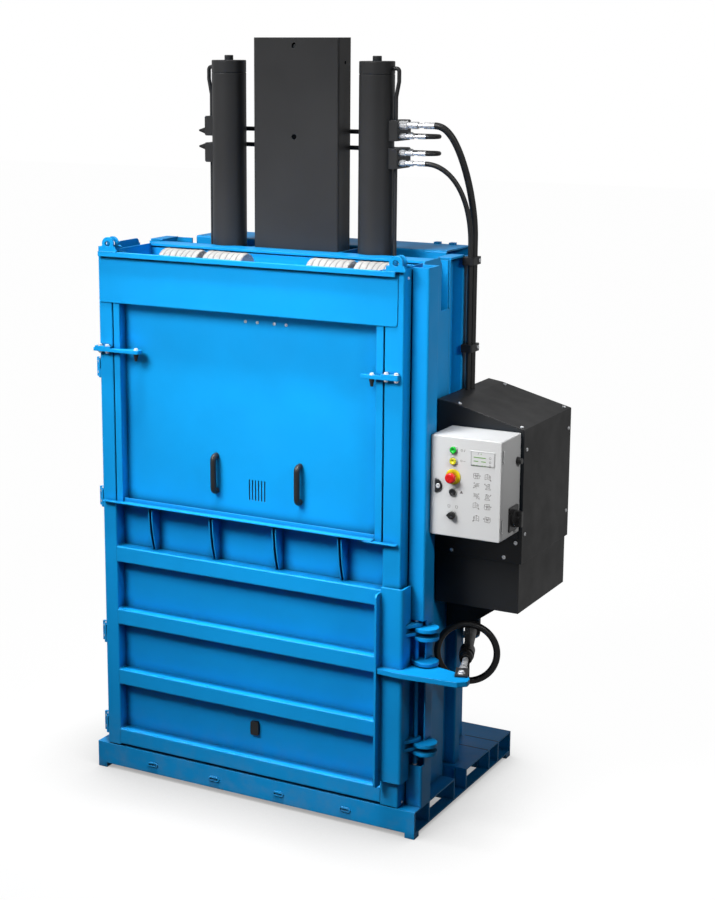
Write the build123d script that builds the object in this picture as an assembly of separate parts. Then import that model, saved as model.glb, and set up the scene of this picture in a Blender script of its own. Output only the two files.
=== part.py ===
from build123d import *
from math import atan2, degrees, hypot
import os

# Upright recycling baler, in millimetres. X right, Y back, Z up.
# The origin is on the floor, under the axis of the press.

# Whole machine
base_width = 1500.0
base_depth = 966.0
base_height = 93.0
base_front = -455.0
base_centre_x = 10.5
pad_height = 20.0
pad_size = 42.0
frame_top = 2226.0
wall_outer = 695.0
wall_inner = 637.5
sheet = 5.0
plate = 6.0
bend = 9.0
seat = 0.0

# Base
pocket_front = 141.0
pocket_width = 239.0
base_gap = 110.0
rear_pocket_from = 492.0
rear_rib = 825.0
base_plate = 10.0
deck_plate = 6.0
side_strip = 50.0
loop_pitch = 305.0
loop_first_x = -460.5
loop_height = 40.0
tie_inset = 104.5

# Door, closed against the walls
door_outer = 686.5
door_depth = 68.0
door_bottom = 118.0
door_top = 2241.0
left_post = 64.0
right_post = 78.0
rail_tops = (995.0, 722.0, 457.0, 190.0)
rail_height = 68.0
rail_depth = 50.0
rib_top = 1171.0
rib_panel_back = 64.0
header_bottom = 2017.0
header_top = 2223.0
header_plate_t = 4.0
header_lip = 18.0
header_lip_drop = 19.0
header_left = -679.5
header_right = 662.5
lug_eye_r = 12.0
lug_r = 27.5
lug_rise = 14.0
strap_slot_inset = 6.0

# Strap guides and floor slots, which line up
strap_pitch = 292.5
strap_centre_x = -16.0
rib_plate = 5.0
rib_slot = 10.0
floor_slot = 26.0
floor_height = 40.0

# Gate and its guides
strip_width = 30.0
strip_depth = 42.0
strip_seam = 5.0
gate_sheet = 4.0
gate_bottom = 1185.0
gate_top = 2150.0
gate_ledge_t = 5.0
gate_ledge_front = 20.0
gate_travel = 590.0
gate_play = 0.5
handle_r = 9.0
handle_height = 150.0
handle_bottom = 1280.0
handle_xs = (-156.5, 226.5)
handle_stand = 30.0
stop_z = gate_bottom + gate_ledge_t + gate_travel + 36.0
stop_t = 14.0

# Press
stroke = 700.0
gland_height = 45.0
piston_height = 45.0
cap_height = 50.0
platen_bottom = 1990.0
platen_height = 88.0
platen_width = 1150.0
platen_front = -372.0
platen_back = 352.0
cylinder_x = 338.0
cylinder_r = 70.5
cylinder_top = 2976.0
cylinder_bottom = 2112.0
rod_r = 35.0
bore_clearance = 0.06
tower_width = 387.0
tower_front = -49.0
tower_back = 60.0
tower_top = 3066.0
tower_wall = 6.0
mast_gap = 1.5

# Side clamp
pivot_x = 726.5
pivot_y = -386.0
pin_r = 9.0
pin_clearance = 0.08
sleeve_t = 9.0
sleeve_left = 616.5
sleeve_face = -480.0
sleeve_side = 709.5
sleeve_back = -408.0
lever_bottom = 676.0
lever_t = 20.0
lever_pin_x = 930.5
lever_pin_y = -418.0
lever_hole_r = 14.0
clevis_bolt_r = 6.0
ear_r = 47.0
ear_out = 39.0
ear_back = 9.0
ear_nose = 22.0
ear_t = 14.0
pin_low = 288.0
hinge_out = 8.0
hinge_back = 30.0
hinge_r = 11.0
hinge_pin_r = 5.0
hinge_rows = ((1698.0, 80.0), (1149.0, 80.0), (556.0, 84.0), (150.0, 84.0))
ear_zs = (836.0, 803.0, 701.0, 368.0, 335.0)
lobe_t = 13.0
lobe_zs = (852.0, 819.5, 384.0, 351.5)

# Tensioner with its handwheel
anchor_x = 722.0
anchor_y = 165.0
spindle_r = 12.0
tube_r = 20.0
thread_clearance = 0.08
wheel_r = 117.5
wheel_tube_r = 13.5
wheel_from_pin = 293.0

# Power pack and control box
pack_left = 700.5
pack_right = 1060.5
pack_front = -168.0
pack_back = 322.0
pack_bottom = 886.0
pack_seam = 1087.0
pack_roof_high = 1701.0
pack_roof_low = 1614.0
pack_sheet = 3.0
box_left = 762.0
box_right = 1048.5
box_bottom = 1218.0
box_top = 1604.0
box_depth = 187.0
lid_depth = 20.0
control_inset = 94.0
green_drop = 49.0
yellow_drop = 92.0
mushroom_drop = 153.0
black_drop = 211.0
selector_drop = 301.0
lock_inset = 34.0
lock_drop = 194.0
switch_back = 123.5
switch_rise = 69.0

# Strap rolls
roll_r = 65.0
roll_length = 182.0
roll_y = -270.0
roll_starts = (-484.0, -276.0, 198.0, 404.0)

# Hydraulics
port_x = 422.0
block_width = 30.0
block_height = 80.0
upper_block_drop = 226.0
lower_block_drop = 334.0
row_near_top = 18.0
row_second = 61.0
row_third = 57.0
pipe_r = 8.0
cross_y = 84.0
hose_r = 13.5
thin_hose_r = 10.0
hose_x = 720.0

# Places that follow from the sizes above
base_left = base_centre_x - base_width / 2
base_right = base_centre_x + base_width / 2
base_back = base_front + base_depth
deck = pad_height + base_height
door_front = base_front
door_back = door_front + door_depth
wall_front = door_back + 4.0
wall_back = -69.0
strap_xs = [strap_centre_x + (i - 1.5) * strap_pitch for i in range(4)]
left_post_inner = -door_outer + left_post
right_post_inner = door_outer - right_post
gate_face = door_front + strip_depth
column_front = -68.0
column_slot_end = 61.0
column_back = 114.0
platen_top = platen_bottom + platen_height
rear_half = 594.0
rear_wall_y = 371.0
spindle_z = lever_bottom + lever_t / 2
post_front = wall_front - 15.0
post_out = wall_outer + 65.5
hinge_x = -wall_outer - hinge_out
hinge_y = door_front + hinge_back
upper_block = (cylinder_top - upper_block_drop - block_height, cylinder_top - upper_block_drop)
lower_block = (cylinder_top - lower_block_drop - block_height, cylinder_top - lower_block_drop)
control_x = box_left + control_inset
lock_x = box_left + lock_inset
green_z = box_top - green_drop
yellow_z = box_top - yellow_drop
mushroom_z = box_top - mushroom_drop
black_z = box_top - black_drop
selector_z = box_top - selector_drop
lock_z = box_top - lock_drop
switch_z = box_bottom + switch_rise
pin_reach = hypot(anchor_x - lever_pin_x, anchor_y - lever_pin_y)
axis_x = (anchor_x - lever_pin_x) / pin_reach
axis_y = (anchor_y - lever_pin_y) / pin_reach


def block(x0, x1, y0, y1, z0, z1):
    """A box between two corners."""
    middle = ((x0 + x1) / 2, (y0 + y1) / 2, (z0 + z1) / 2)
    return Pos(*middle) * Box(x1 - x0, y1 - y0, z1 - z0)


def upright(x, y, z0, z1, r):
    """A round bar standing on z0."""
    return Pos(x, y, (z0 + z1) / 2) * Cylinder(r, z1 - z0)


def across(x0, x1, y, z, r):
    """A round bar along X."""
    return Pos((x0 + x1) / 2, y, z) * Rot(0, 90, 0) * Cylinder(r, x1 - x0)


def deep(x, y0, y1, z, r):
    """A round bar along Y."""
    return Pos(x, (y0 + y1) / 2, z) * Rot(90, 0, 0) * Cylinder(r, y1 - y0)


def prism(points, z0, z1):
    """A plate cut to an outline in plan."""
    face = make_face(Polyline(*points, close=True))
    return Pos(0, 0, z0) * extrude(face, z1 - z0, dir=(0, 0, 1))


def folded(points, t, z0, z1, r=bend, side=Side.LEFT):
    """A sheet of thickness t folded along a path in plan, with bends of outer radius r."""
    path = Wire(FilletPolyline(*points, radius=r).edges())
    face = Face(path.offset_2d(t, side=side))
    return Pos(0, 0, z0) * extrude(face, z1 - z0, dir=(0, 0, 1))


def tube(points, r, corner):
    """A round line bent through its points with one corner radius."""
    path = FilletPolyline(*points, radius=corner)
    return sweep(Plane(path @ 0, z_dir=path % 0) * Circle(r), path=path)


def hexagon(x, y, z0, z1, across_flats):
    """A hexagon head or nut on an upright axis."""
    face = RegularPolygon(across_flats / 2, 6, major_radius=False)
    return Pos(x, y, z0) * extrude(face, z1 - z0, dir=(0, 0, 1))


def front_bolt(x, y, z, head_r, head_t):
    """A button head on a face that looks to the front."""
    return deep(x, y - head_t, y, z, head_r)


def joined(*parts):
    """One solid of pieces that are welded together."""
    whole = parts[0]
    for part in parts[1:]:
        whole = whole + part
    return whole


# Base: two open channels with fork pockets between their ribs, tied by the side strips
def base_frame():
    front_web = base_front
    pocket_a = base_front + pocket_front
    front_end = pocket_a + pocket_width
    rear_web = front_end + base_gap
    pocket_c = base_front + rear_pocket_from + pocket_width - 3
    last_rib = base_front + rear_rib
    under = deck - deck_plate
    parts = [
        block(base_left, base_right, front_web, front_end, under, deck),
        block(base_left, base_right, rear_web, base_back, under, deck),
        block(base_left, base_right, front_web, front_web + base_plate, pad_height, deck),
    ]
    for y in (pocket_a - base_plate, front_end - base_plate, rear_web, pocket_c, last_rib):
        parts.append(block(base_left, base_right, y, y + base_plate, pad_height, deck))
    parts.append(block(base_left, base_right, base_back - base_plate, base_back, pad_height, deck))
    for x in (base_left, base_centre_x - side_strip / 2, base_right - side_strip):
        parts.append(block(x, x + side_strip, base_front, base_back, pad_height, pad_height + deck_plate))
    frame = joined(*parts)
    for x in (base_left + tie_inset, base_right - tie_inset - plate):
        frame = frame + block(x, x + plate, front_end - base_plate, rear_web + base_plate, pad_height, deck)
    for i in range(4):
        frame = frame + strap_loop(loop_first_x + i * loop_pitch)
    return joined(frame, *foot_pads())


def strap_loop(x):
    """A flat oval eye welded on the front of the base."""
    z = pad_height + loop_height
    wide, high, thick = 50.0, 18.0, 5.0
    rim = extrude(SlotOverall(wide, high) - SlotOverall(wide - 12, high - 10), thick)
    return Pos(x, base_front + 0.01, z) * Rot(90, 0, 0) * rim


def foot_pads():
    """The pads it stands on, one at each corner and one under the press."""
    inset = pad_size / 2
    pads = []
    for x in (base_left + inset, base_right - inset):
        for y in (base_front + inset, base_back - inset):
            pads.append(block(x - inset, x + inset, y - inset, y + inset, 0, pad_height))
    centre = base_centre_x + side_strip / 2
    pads.append(block(centre - side_strip, centre, -inset, inset, 0, pad_height))
    return pads


# Chamber
def chamber_floor():
    """A sheet with five raised channels, and a slot for the strap between each two."""
    edges = [-wall_inner + 0.5]
    for x in strap_xs:
        edges += [x - floor_slot / 2, x + floor_slot / 2]
    edges.append(wall_inner - 0.5)
    y0, y1 = door_back + 6, column_back - 6
    floor = block(edges[0], edges[-1], y0, y1, deck, deck + sheet)
    rear0, rear1 = -rear_half + plate + 0.5, rear_half - plate - 0.5
    deep_to = rear_wall_y - plate - bend
    floor = floor + block(rear0, rear1, y1, deep_to, deck, deck + sheet)
    low, top = deck + sheet, deck + floor_height
    channels = []
    for x0, x1 in zip(edges[0::2], edges[1::2]):
        x0, x1 = max(x0, rear0), min(x1, rear1)
        hollow = block(x0 + sheet, x1 - sheet, y0 - 1, deep_to + 1, low - 1, top - sheet)
        channels.append(block(x0, x1, y0, deep_to, low, top) - hollow)
    return [floor] + channels


def side_wall(side):
    """A tall hollow section of folded sheet, with a notch at the rear of its top."""
    x0, x1 = wall_inner, wall_outer
    outer = block(x0, x1, wall_front, wall_back, deck, frame_top)
    inner = block(x0 + sheet, x1 - sheet, wall_front + sheet, wall_back - sheet, deck - 1, frame_top + 1)
    wall = outer - inner
    notch = block(x1 - sheet - 1, x1 + 1, wall_back - 77, wall_back + 1, frame_top - 188, frame_top + 1)
    wall = wall - notch
    inner = x1 - sheet
    ear = prism(((inner, -305), (x1, -305), (x1, -154), (inner, -154)), frame_top - 40, frame_top + 20)
    ear = fillet(ear.edges().filter_by(Axis.X).group_by(Axis.Z)[-1], 18)
    wall = wall + ear
    if side > 0:
        return wall
    out, back = -x1 - 23.5, post_front + 93
    strip = folded(((-x1, post_front), (out, post_front), (out, back), (-x1, back)), sheet, deck, frame_top,
                   side=Side.RIGHT)
    return mirror(wall, Plane.YZ) + strip


def rear_wall():
    half = rear_half
    start = column_back - plate
    path = ((-half, start), (-half, rear_wall_y), (half, rear_wall_y), (half, start))
    return folded(path, plate, deck, frame_top - 97, side=Side.RIGHT)


def side_columns():
    """A folded column on each side."""
    column = side_column()
    return [column, mirror(column, Plane.YZ)]


def side_column():
    """A folded column, open to the outside between its two flanges."""
    x0, x1 = wall_inner + plate, wall_outer
    path = (
        (x1, column_front),
        (x1, column_front + 16),
        (x0, column_front + 16),
        (x0, column_slot_end),
        (x1, column_slot_end),
        (x1, column_back),
        (rear_half, column_back),
    )
    column = folded(path, plate, deck, frame_top, r=7.0)
    cap = block(x0 - plate, x1, column_front + 10, column_slot_end + plate - 1, frame_top, frame_top + 8)
    return column + cap


def corner_post():
    """A folded channel on the wall, cut away in front of the clamp's pin."""
    x1, back = post_out, post_front + 93
    path = ((wall_outer, post_front), (x1, post_front), (x1, back), (wall_outer, back))
    post = folded(path, plate, deck, frame_top + 10)
    cut_front, ear_top = post_front - 22, ear_zs[0] + ear_t
    low, high = lever_bottom - 6, lever_bottom + lever_t + 3
    post = post - block(wall_outer + 1, x1 + 1, cut_front, pivot_y + 15, pin_low - 6, ear_top + 26)
    post = post - block(wall_outer + 1, x1 + 1, cut_front, post_front + 65, low, high)
    for z in ear_zs:
        post = post + Pos(0, 0, z) * extrude(ear_outline(), ear_t, dir=(0, 0, 1))
    low, high = ear_zs[-1] - 1, ear_top + 1
    return post - upright(pivot_x, pivot_y, low, high, pin_r + pin_clearance)


def ear_outline():
    """A round plate beside the pin with a small nose round it, inside the sleeve's turn."""
    round_plate = Pos(pivot_x + ear_out, pivot_y + ear_back) * Circle(ear_r)
    nose = Pos(pivot_x, pivot_y) * Circle(ear_nose)
    whole = make_hull(round_plate.edges() + nose.edges())
    return whole - Pos(wall_outer - 100, pivot_y) * Rectangle(200, 400)


# Top frame
def front_beam():
    """An open channel across the walls, with round seats where the cylinders pass."""
    back, front = tower_front, -145.0
    web = -89.0
    top, low = frame_top, frame_top - 106
    half = wall_inner
    flange = block(-half, half, front, back, top - 10, top)
    foot = block(-half, half, web, back, low, low + 8)
    beam = flange + foot + block(-half, half, web, web + 8, low, top)
    for x in (-cylinder_x, cylinder_x):
        beam = beam - upright(x, 0, low - 1, top + 1, cylinder_r)
    for side in (-1, 1):
        x = side * (tower_width / 2 + 5)
        stay = block(x - 5, x + 5, web + 8, 133, low, top - 10)
        stay = stay + block(x - 5, x + 5, back, 133, top - 10, top)
        beam = beam + stay
    return beam


def rear_beam():
    """An upside-down channel that closes the frame at the back."""
    half = rear_half - plate - 0.5
    y0, y1 = 133.0, rear_wall_y
    top = frame_top + 9
    low = frame_top - 97
    path = ((y0, low), (y0, top), (y1, top), (y1, low))
    wire = Wire(FilletPolyline(*[(0, y, z) for y, z in path], radius=bend).edges())
    face = Face(wire.offset_2d(plate, side=Side.RIGHT))
    beam = Pos(-half, 0, 0) * extrude(face, 2 * half, dir=(1, 0, 0))
    for x in (218, 446, 514):
        clip = block(x - 12, x + 12, y1 - 30, y1 - 4, top - 1, top + 8)
        beam = beam + clip
    return beam


def roll_tray():
    """A long folded tray behind the gate."""
    y0, y1 = roll_y - roll_r - 9, -137.0
    low = frame_top - 130
    path = ((y0, low + 75), (y0, low), (y1, low), (y1, frame_top - 16))
    wire = Wire(FilletPolyline(*[(0, y, z) for y, z in path], radius=8).edges())
    face = Face(wire.offset_2d(3, side=Side.RIGHT))
    half = wall_inner
    return Pos(-half, 0, 0) * extrude(face, 2 * half, dir=(1, 0, 0))


def strap_rolls():
    """Four rolls of baling strap that lie in the tray."""
    z = frame_top - 130 + 3 + roll_r + seat
    core = 19.0
    rolls = []
    for x in roll_starts:
        ring = across(x, x + roll_length, roll_y, z, roll_r)
        ring = ring - across(x - 1, x + roll_length + 1, roll_y, z, core)
        rolls.append(chamfer(ring.edges().filter_by(GeomType.CIRCLE).sort_by(SortBy.RADIUS)[-2:], 4))
    return rolls


def guide_tower():
    """The tall closed box in which the mast of the press runs."""
    half = tower_width / 2
    low = frame_top - 106
    tower = block(-half, half, tower_front, tower_back, low, tower_top)
    tower = fillet(tower.edges().filter_by(Axis.Z), 8)
    inner = block(-half + tower_wall, half - tower_wall, tower_front + tower_wall, tower_back - tower_wall,
                  low - 1, tower_top - tower_wall)
    tower = tower - inner
    for z in (tower_top - 32, tower_top - 390):
        tower = tower - deep(-6.5, tower_front - 1, tower_front + 10, z, 11)
    return tower - across(half - 10, half + 1, 8, tower_top - 97, 7)


# Press
def cylinder_barrels():
    """Two hydraulic cylinders, with a gland below and a port stub on the cap."""
    barrels = []
    for x in (-cylinder_x, cylinder_x):
        body = upright(x, 0, cylinder_bottom, cylinder_top, cylinder_r)
        body = chamfer(body.edges().group_by(Axis.Z)[-1], 2.5)
        groove = upright(x, 0, cylinder_top - 52, cylinder_top - 49, cylinder_r + 1)
        groove = groove - upright(x, 0, cylinder_top - 53, cylinder_top - 48, cylinder_r - 1.5)
        stub = upright(x, 0, cylinder_top, cylinder_top + 20, 18)
        body = body - groove + chamfer(stub.edges().group_by(Axis.Z)[-1], 2)
        low = cylinder_bottom + gland_height
        bore = upright(x, 0, low, cylinder_top - cap_height, rod_r + 15)
        body = body - bore - upright(x, 0, cylinder_bottom - 1, low + 5, rod_r + bore_clearance)
        barrels.append(body)
    return barrels


def piston_top():
    """The piston starts under the cap, or lower, so that its stroke just ends above the gland."""
    return min(cylinder_top - cap_height - 10, cylinder_bottom + gland_height + stroke + piston_height + 14)


def piston_rods():
    """Chromed rods with a piston each, bolted into sockets on the platen."""
    rods = []
    for x in (-cylinder_x, cylinder_x):
        top = piston_top()
        rod = upright(x, 0, platen_top, top, rod_r)
        rod = rod + upright(x, 0, top - piston_height, top, rod_r + 15 - 0.3)
        rods.append(rod)
    return rods


def press_plate():
    """A box platen with strap grooves below, closed ribs above and sockets for the rods."""
    half = platen_width / 2
    skin = 12.0
    low, top = platen_bottom, platen_top
    plate_body = block(-half, half, platen_front, platen_back, low, low + skin)
    for y in (platen_front, -cylinder_r - 30, cylinder_r + 18, platen_back - skin):
        plate_body = plate_body + block(-half, half, y, y + skin, low, top)
    for x in (-half, -tower_width / 2 - 20, tower_width / 2 + 20 - skin, half - skin):
        plate_body = plate_body + block(x, x + skin, platen_front, platen_back, low, top)
    plate_body = plate_body + block(-half, half, -cylinder_r - 30, cylinder_r + 30, top - skin, top)
    for x in strap_xs:
        left, right = x - floor_slot / 2, x + floor_slot / 2
        plate_body = plate_body - block(left, right, platen_front - 1, platen_back + 1, low - 1, low + 7)
    return plate_body


def guide_mast():
    """A hollow bar on the platen, which keeps it level in the tower."""
    gap = mast_gap
    half = tower_width / 2 - tower_wall - gap
    y0, y1 = tower_front + tower_wall + gap, tower_back - tower_wall - gap
    top = tower_top - tower_wall - 20
    mast = block(-half, half, y0, y1, platen_top, top)
    return mast - block(-half + 8, half - 8, y0 + 8, y1 - 8, platen_top - 1, top + 1)


# Door
def door_frame():
    """Two posts, four rails and the top tie of the door, welded up."""
    depth = door_back
    left = block(-door_outer, left_post_inner, door_front, depth, door_bottom, door_top)
    right = block(right_post_inner, door_outer, door_front, depth, door_bottom, door_top)
    posts = [fillet(post.edges().filter_by(Axis.Z), 6) for post in (left, right)]
    hollow = [
        block(-door_outer + sheet, left_post_inner - sheet, door_front + sheet, depth - sheet,
              door_bottom - 1, door_top - sheet),
        block(right_post_inner + sheet, door_outer - sheet, door_front + sheet, depth - sheet,
              door_bottom - 1, door_top - sheet),
    ]
    frame = (posts[0] - hollow[0]) + (posts[1] - hollow[1])
    for z in rail_tops:
        rail = block(left_post_inner - 1, right_post_inner + 1, door_front, door_front + rail_depth,
                     z - rail_height, z)
        rail = fillet(rail.edges().filter_by(Axis.X).group_by(Axis.Y)[0], 6)
        y0, y1 = door_front + sheet, door_front + rail_depth + 1
        rail = rail - block(left_post_inner, right_post_inner, y0, y1, z - rail_height + sheet, z - sheet)
        frame = frame + rail
    x0, x1 = left_post_inner - 1, right_post_inner + 1
    tie = block(x0, x1, depth - 6, depth, header_bottom + 60, door_top - 60)
    return frame + tie


def door_panels():
    """The door's sheets: one behind the rails, one behind the strap guides."""
    x0, x1 = left_post_inner, right_post_inner
    y = door_front + rail_depth
    low = rail_tops[-1] - rail_height
    lower = block(x0, x1, y, y + sheet, low, rail_tops[0])
    back = door_front + rib_panel_back
    upper = block(x0, x1, back - sheet, back, rail_tops[0] - 15, rib_top + 8)
    step = block(x0, x1, y, back, rail_tops[0] - 15, rail_tops[0] - 15 + sheet)
    sill = block(x0, x1, back - 30, back, rib_top + 3, rib_top + 8)
    panels = joined(lower, upper, step, sill)
    low, top = rail_tops[0] + strap_slot_inset, rib_top - strap_slot_inset
    for x in strap_xs:
        panels = panels - block(x - rib_slot / 2, x + rib_slot / 2, back - sheet - 1, back + 1, low, top)
    return panels


def header_plate():
    """The thin plate across the posts, folded forward along its top."""
    t = header_plate_t
    y = door_front
    face = block(header_left, header_right, y - t, y, header_bottom, header_top)
    face = fillet(face.edges().filter_by(Axis.Y).group_by(Axis.Z)[0].sort_by(Axis.X)[-1], 14)
    shelf = block(header_left + 5, header_right - 6, y - header_lip, y, header_top - t, header_top)
    drop = block(header_left + 5, header_right - 6, y - header_lip, y - header_lip + t,
                 header_top - header_lip_drop, header_top)
    return face + shelf + drop


def lifting_lugs():
    """Eyes in pairs on the two posts, the front one on the folded top of the header."""
    lugs = []
    eye_z = door_top + lug_rise
    side, base = lug_r - 1, 40.0
    for x in (-door_outer + 59, door_outer - 28):
        for y0, foot in ((door_front - 15, header_top), (door_front + 19, door_top)):
            skirt = make_face(Polyline((-base, foot), (base, foot), (base, foot + 6), (side, eye_z - 6),
                                       (-side, eye_z - 6), (-base, foot + 6), close=True))
            below = Pos(0, foot - 50) * Rectangle(200, 100)
            face = Pos(0, eye_z) * Circle(lug_r) + skirt - Pos(0, eye_z) * Circle(lug_eye_r) - below
            lug = Plane((x, y0 + 8, 0), x_dir=(1, 0, 0), z_dir=(0, -1, 0)) * extrude(face, 8)
            lugs.append(lug)
    return lugs


def guide_strips():
    """Hat sections on the posts, in front of the gate, and flat bars behind it."""
    low, top = rib_top + 10, header_bottom - 2
    t = 3.0
    x = (0, strip_seam, strip_seam + strip_width)
    y0, y1 = door_front, gate_face - gate_play
    path = ((x[0], y1 - t), (x[1], y1 - t), (x[1], y0), (x[2], y0), (x[2], y1))
    hat = folded(path, t, low, door_top - 20, r=t + 0.5, side=Side.RIGHT)
    bar = block(x[0], x[2], gate_face + gate_sheet + 6, gate_face + gate_sheet + 12, low, door_top - 20)
    left = [Pos(left_post_inner, 0, 0) * piece for piece in (hat, bar)]
    right = [Pos(right_post_inner, 0, 0) * mirror(piece, Plane.YZ) for piece in (hat, bar)]
    return left + right


def strap_guide_ribs():
    """Pairs of plates that lead a strap from the slot to the front, curved towards the foot."""
    back = door_front + rib_panel_back - sheet
    low, top = rail_tops[0], rib_top
    front_low = door_front + 31
    middle = (0, door_front + 7, (low + top) / 2 + 12)
    arc = ThreePointArc((0, door_front + 1, top), middle, (0, front_low, low))
    rest = Polyline((0, front_low, low), (0, back, low), (0, back, top), (0, door_front + 1, top))
    side_face = make_face(Curve() + [arc, *rest.edges()])
    ribs = []
    for x in strap_xs:
        for x0 in (x - rib_slot / 2 - rib_plate, x + rib_slot / 2):
            ribs.append(Pos(x0, 0, 0) * extrude(side_face, rib_plate, dir=(1, 0, 0)))
    return ribs


def hinge_leaves():
    """Four strong hinges at the left, each a leaf on the body and one on the door."""
    leaves = []
    x, y, r = hinge_x, hinge_y, hinge_r
    front, back = post_front - 12, post_front
    for z, height in hinge_rows:
        half, top = height / 2, z + height
        body = block(x - 31.5, x, front, back, z, top) + upright(x, y, z, z + half, r)
        body = body + block(x - r, x, y, back, z, z + half)
        body = body - upright(x, y, z - 1, z + half + 1, hinge_pin_r)
        notch = block(x - r - 2, x + r + 2, y - r - 2, y + r + 1.5, z + half, top + 1)
        leaves.append(body - notch)
        low = z + half + 0.4
        door = upright(x, y, low, top, r) + block(x, -door_outer, y - 4, y + 4, low, top)
        door = door + block(-door_outer - 5, -door_outer, y - 30, y + 22, low, top)
        leaves.append(door - upright(x, y, z, top + 1, hinge_pin_r))
    return leaves


def hinge_pins():
    """A pin with a flat head in each hinge."""
    pins = []
    for z, height in hinge_rows:
        head = upright(hinge_x, hinge_y, z + height, z + height + 4, hinge_pin_r + 3)
        pins.append(upright(hinge_x, hinge_y, z, z + height, hinge_pin_r) + head)
    return pins


def stop_brackets():
    """Arms on the posts that end the gate's travel."""
    z0, z1 = stop_z, stop_z + stop_t
    y0, y1 = door_front - 20, door_front
    left = prism(((-704.5, y0), (-560, y0), (-489.5, y0 + 6), (-489.5, y1 + 18), (-520, y1 + 24),
                  (-585, y1), (-704.5, y1)), z0, z1)
    left = fillet(left.edges().filter_by(Axis.Z).sort_by(Axis.X)[-2:], 10)
    right = prism(((515.5, y0 + 8), (560, y0), (674.5, y0), (674.5, y1), (570, y1), (515.5, y1 - 4)), z0, z1)
    right = fillet(right.edges().filter_by(Axis.Z).sort_by(Axis.X)[:2], 3)
    left = left + block(-697.5, -622.5, y0, y1, z1, z1 + 8)
    right = right + block(603.5, 674.5, y0, y1, z1, z1 + 8)
    left = left - upright(-509.5, y0 + 20, z0 - 1, z1 + 1, 4.5)
    right = right - upright(561.5, y0 + 11, z0 - 1, z1 + 1, 4.5)
    return [left, right]


def buffer_places():
    y0 = door_front - 20
    return ((-509.5, y0 + 20), (561.5, y0 + 11))


def stop_buffers():
    """Rubber cones, point down, that the gate's ledge meets."""
    cones = []
    for x, y in buffer_places():
        cones.append(Pos(x, y, stop_z - 15) * Rot(180, 0, 0) * Cone(11, 5, 30))
    return cones


def bolts():
    """Zinc bolts of the door, its stops and its hinges."""
    heads = []
    y0 = door_front - 20
    top = stop_z + stop_t + 8
    for x in (-677.5, -642.5, 621.5, 663.5):
        heads.append(hexagon(x, y0 + 10, top, top + 8, 15))
        heads.append(hexagon(x, y0 + 10, stop_z - 7, stop_z, 15))
    for x, y in buffer_places():
        shank = upright(x, y, stop_z, stop_z + stop_t, 4.4)
        heads.append(hexagon(x, y, stop_z + stop_t, stop_z + stop_t + 7, 15) + shank)
    for z, height in hinge_rows:
        heads.append(front_bolt(hinge_x - 22, post_front - 12, z + height / 2, 8, 6))
    for z in (2196.0, 129.0):
        heads.append(across(door_outer, door_outer + 5, door_front + 37, z, 7))
    return heads + pack_screws() + clamp_bolts()


def door_grip():
    """A small black catch on the lowest panel."""
    y = door_front + rail_depth
    body = block(-3, 33, y - 12, y, 273, 331)
    return fillet(body.edges().filter_by(Axis.Y), 6)


# Gate
def gate_panel():
    """One sheet with its bottom folded into a ledge that passes in front of the posts."""
    x0, x1 = left_post_inner + 3, right_post_inner - 3
    y0, y1 = gate_face, gate_face + gate_sheet
    t = gate_ledge_t
    front = door_front - gate_ledge_front
    panel = block(x0, x1, y0, y1, gate_bottom, gate_top)
    inner_left = left_post_inner + strip_seam + strip_width + 3
    inner_right = right_post_inner - strip_seam - strip_width - 3
    ledge = block(inner_left, inner_right, front, y1, gate_bottom, gate_bottom + t)
    wing = block(-674.5, 548.5, front, door_front - gate_play, gate_bottom, gate_bottom + t)
    lip = block(inner_left, inner_right, door_front + 8, door_front + 12, gate_bottom, gate_bottom + 21)
    tab = block(535, 675.5, front - 2, door_front - gate_play, gate_bottom - 5, gate_bottom)
    tab = fillet(tab.edges().filter_by(Axis.Z).sort_by(Axis.X)[-2:], 8)
    gate = joined(panel, ledge, wing, lip, tab)
    for i in range(6):
        x = (i - 2.5) * 14 + 31
        gate = gate - block(x - 2.5, x + 2.5, y0 - 1, y1 + 1, 1263, 1346)
    return gate


def gate_handles():
    """Two bar handles with their feet on the sheet."""
    handles = []
    for x in handle_xs:
        y = gate_face - handle_stand
        z0, z1 = handle_bottom, handle_bottom + handle_height
        low, high = z0 + handle_r, z1 - handle_r
        path = ((x, gate_face, low), (x, y, low), (x, y, high), (x, gate_face, high))
        handles.append(tube(path, handle_r, 16))
    return handles


def gate_bolts():
    return [front_bolt(x, gate_face, 1980, 6, 4) for x in (-18.5, 35.5, 111.5, 164.5)]


# Clamp
def clamp_arm():
    """The latch: a folded sleeve round the door post, a fin, a lever and lobes on the pin."""
    face, back = sleeve_face, sleeve_face + sleeve_t + 1
    arm = None
    for z0, z1 in ((lever_bottom + lever_t - 0.01, 1014.0), (226.0, lever_bottom + 0.01)):
        path = ((sleeve_left, face), (sleeve_side, face), (sleeve_side, sleeve_back))
        sleeve = folded(path, sleeve_t, z0, z1, r=14.0)
        arm = sleeve if arm is None else arm + sleeve
    fin = block(607.5, 616.5, -515, back - 1, 204, 992)
    fin = fillet(fin.edges().filter_by(Axis.X).group_by(Axis.Y)[0], 16)
    arm = arm + fin
    arm = arm + lever()
    for z in lobe_zs:
        lobe = upright(pivot_x, pivot_y, z, z + lobe_t, 22)
        lobe = lobe + prism(((sleeve_side - 9, -452), (sleeve_side, -452), (pivot_x + 20, pivot_y - 10),
                             (pivot_x, pivot_y + 20), (sleeve_side - 9, sleeve_back - 1)), z, z + lobe_t)
        arm = arm + lobe
    z0, z1 = lobe_zs[-1] - 1, lobe_zs[0] + lobe_t + 1
    return arm - upright(pivot_x, pivot_y, z0, z1, pin_r + pin_clearance)


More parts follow.
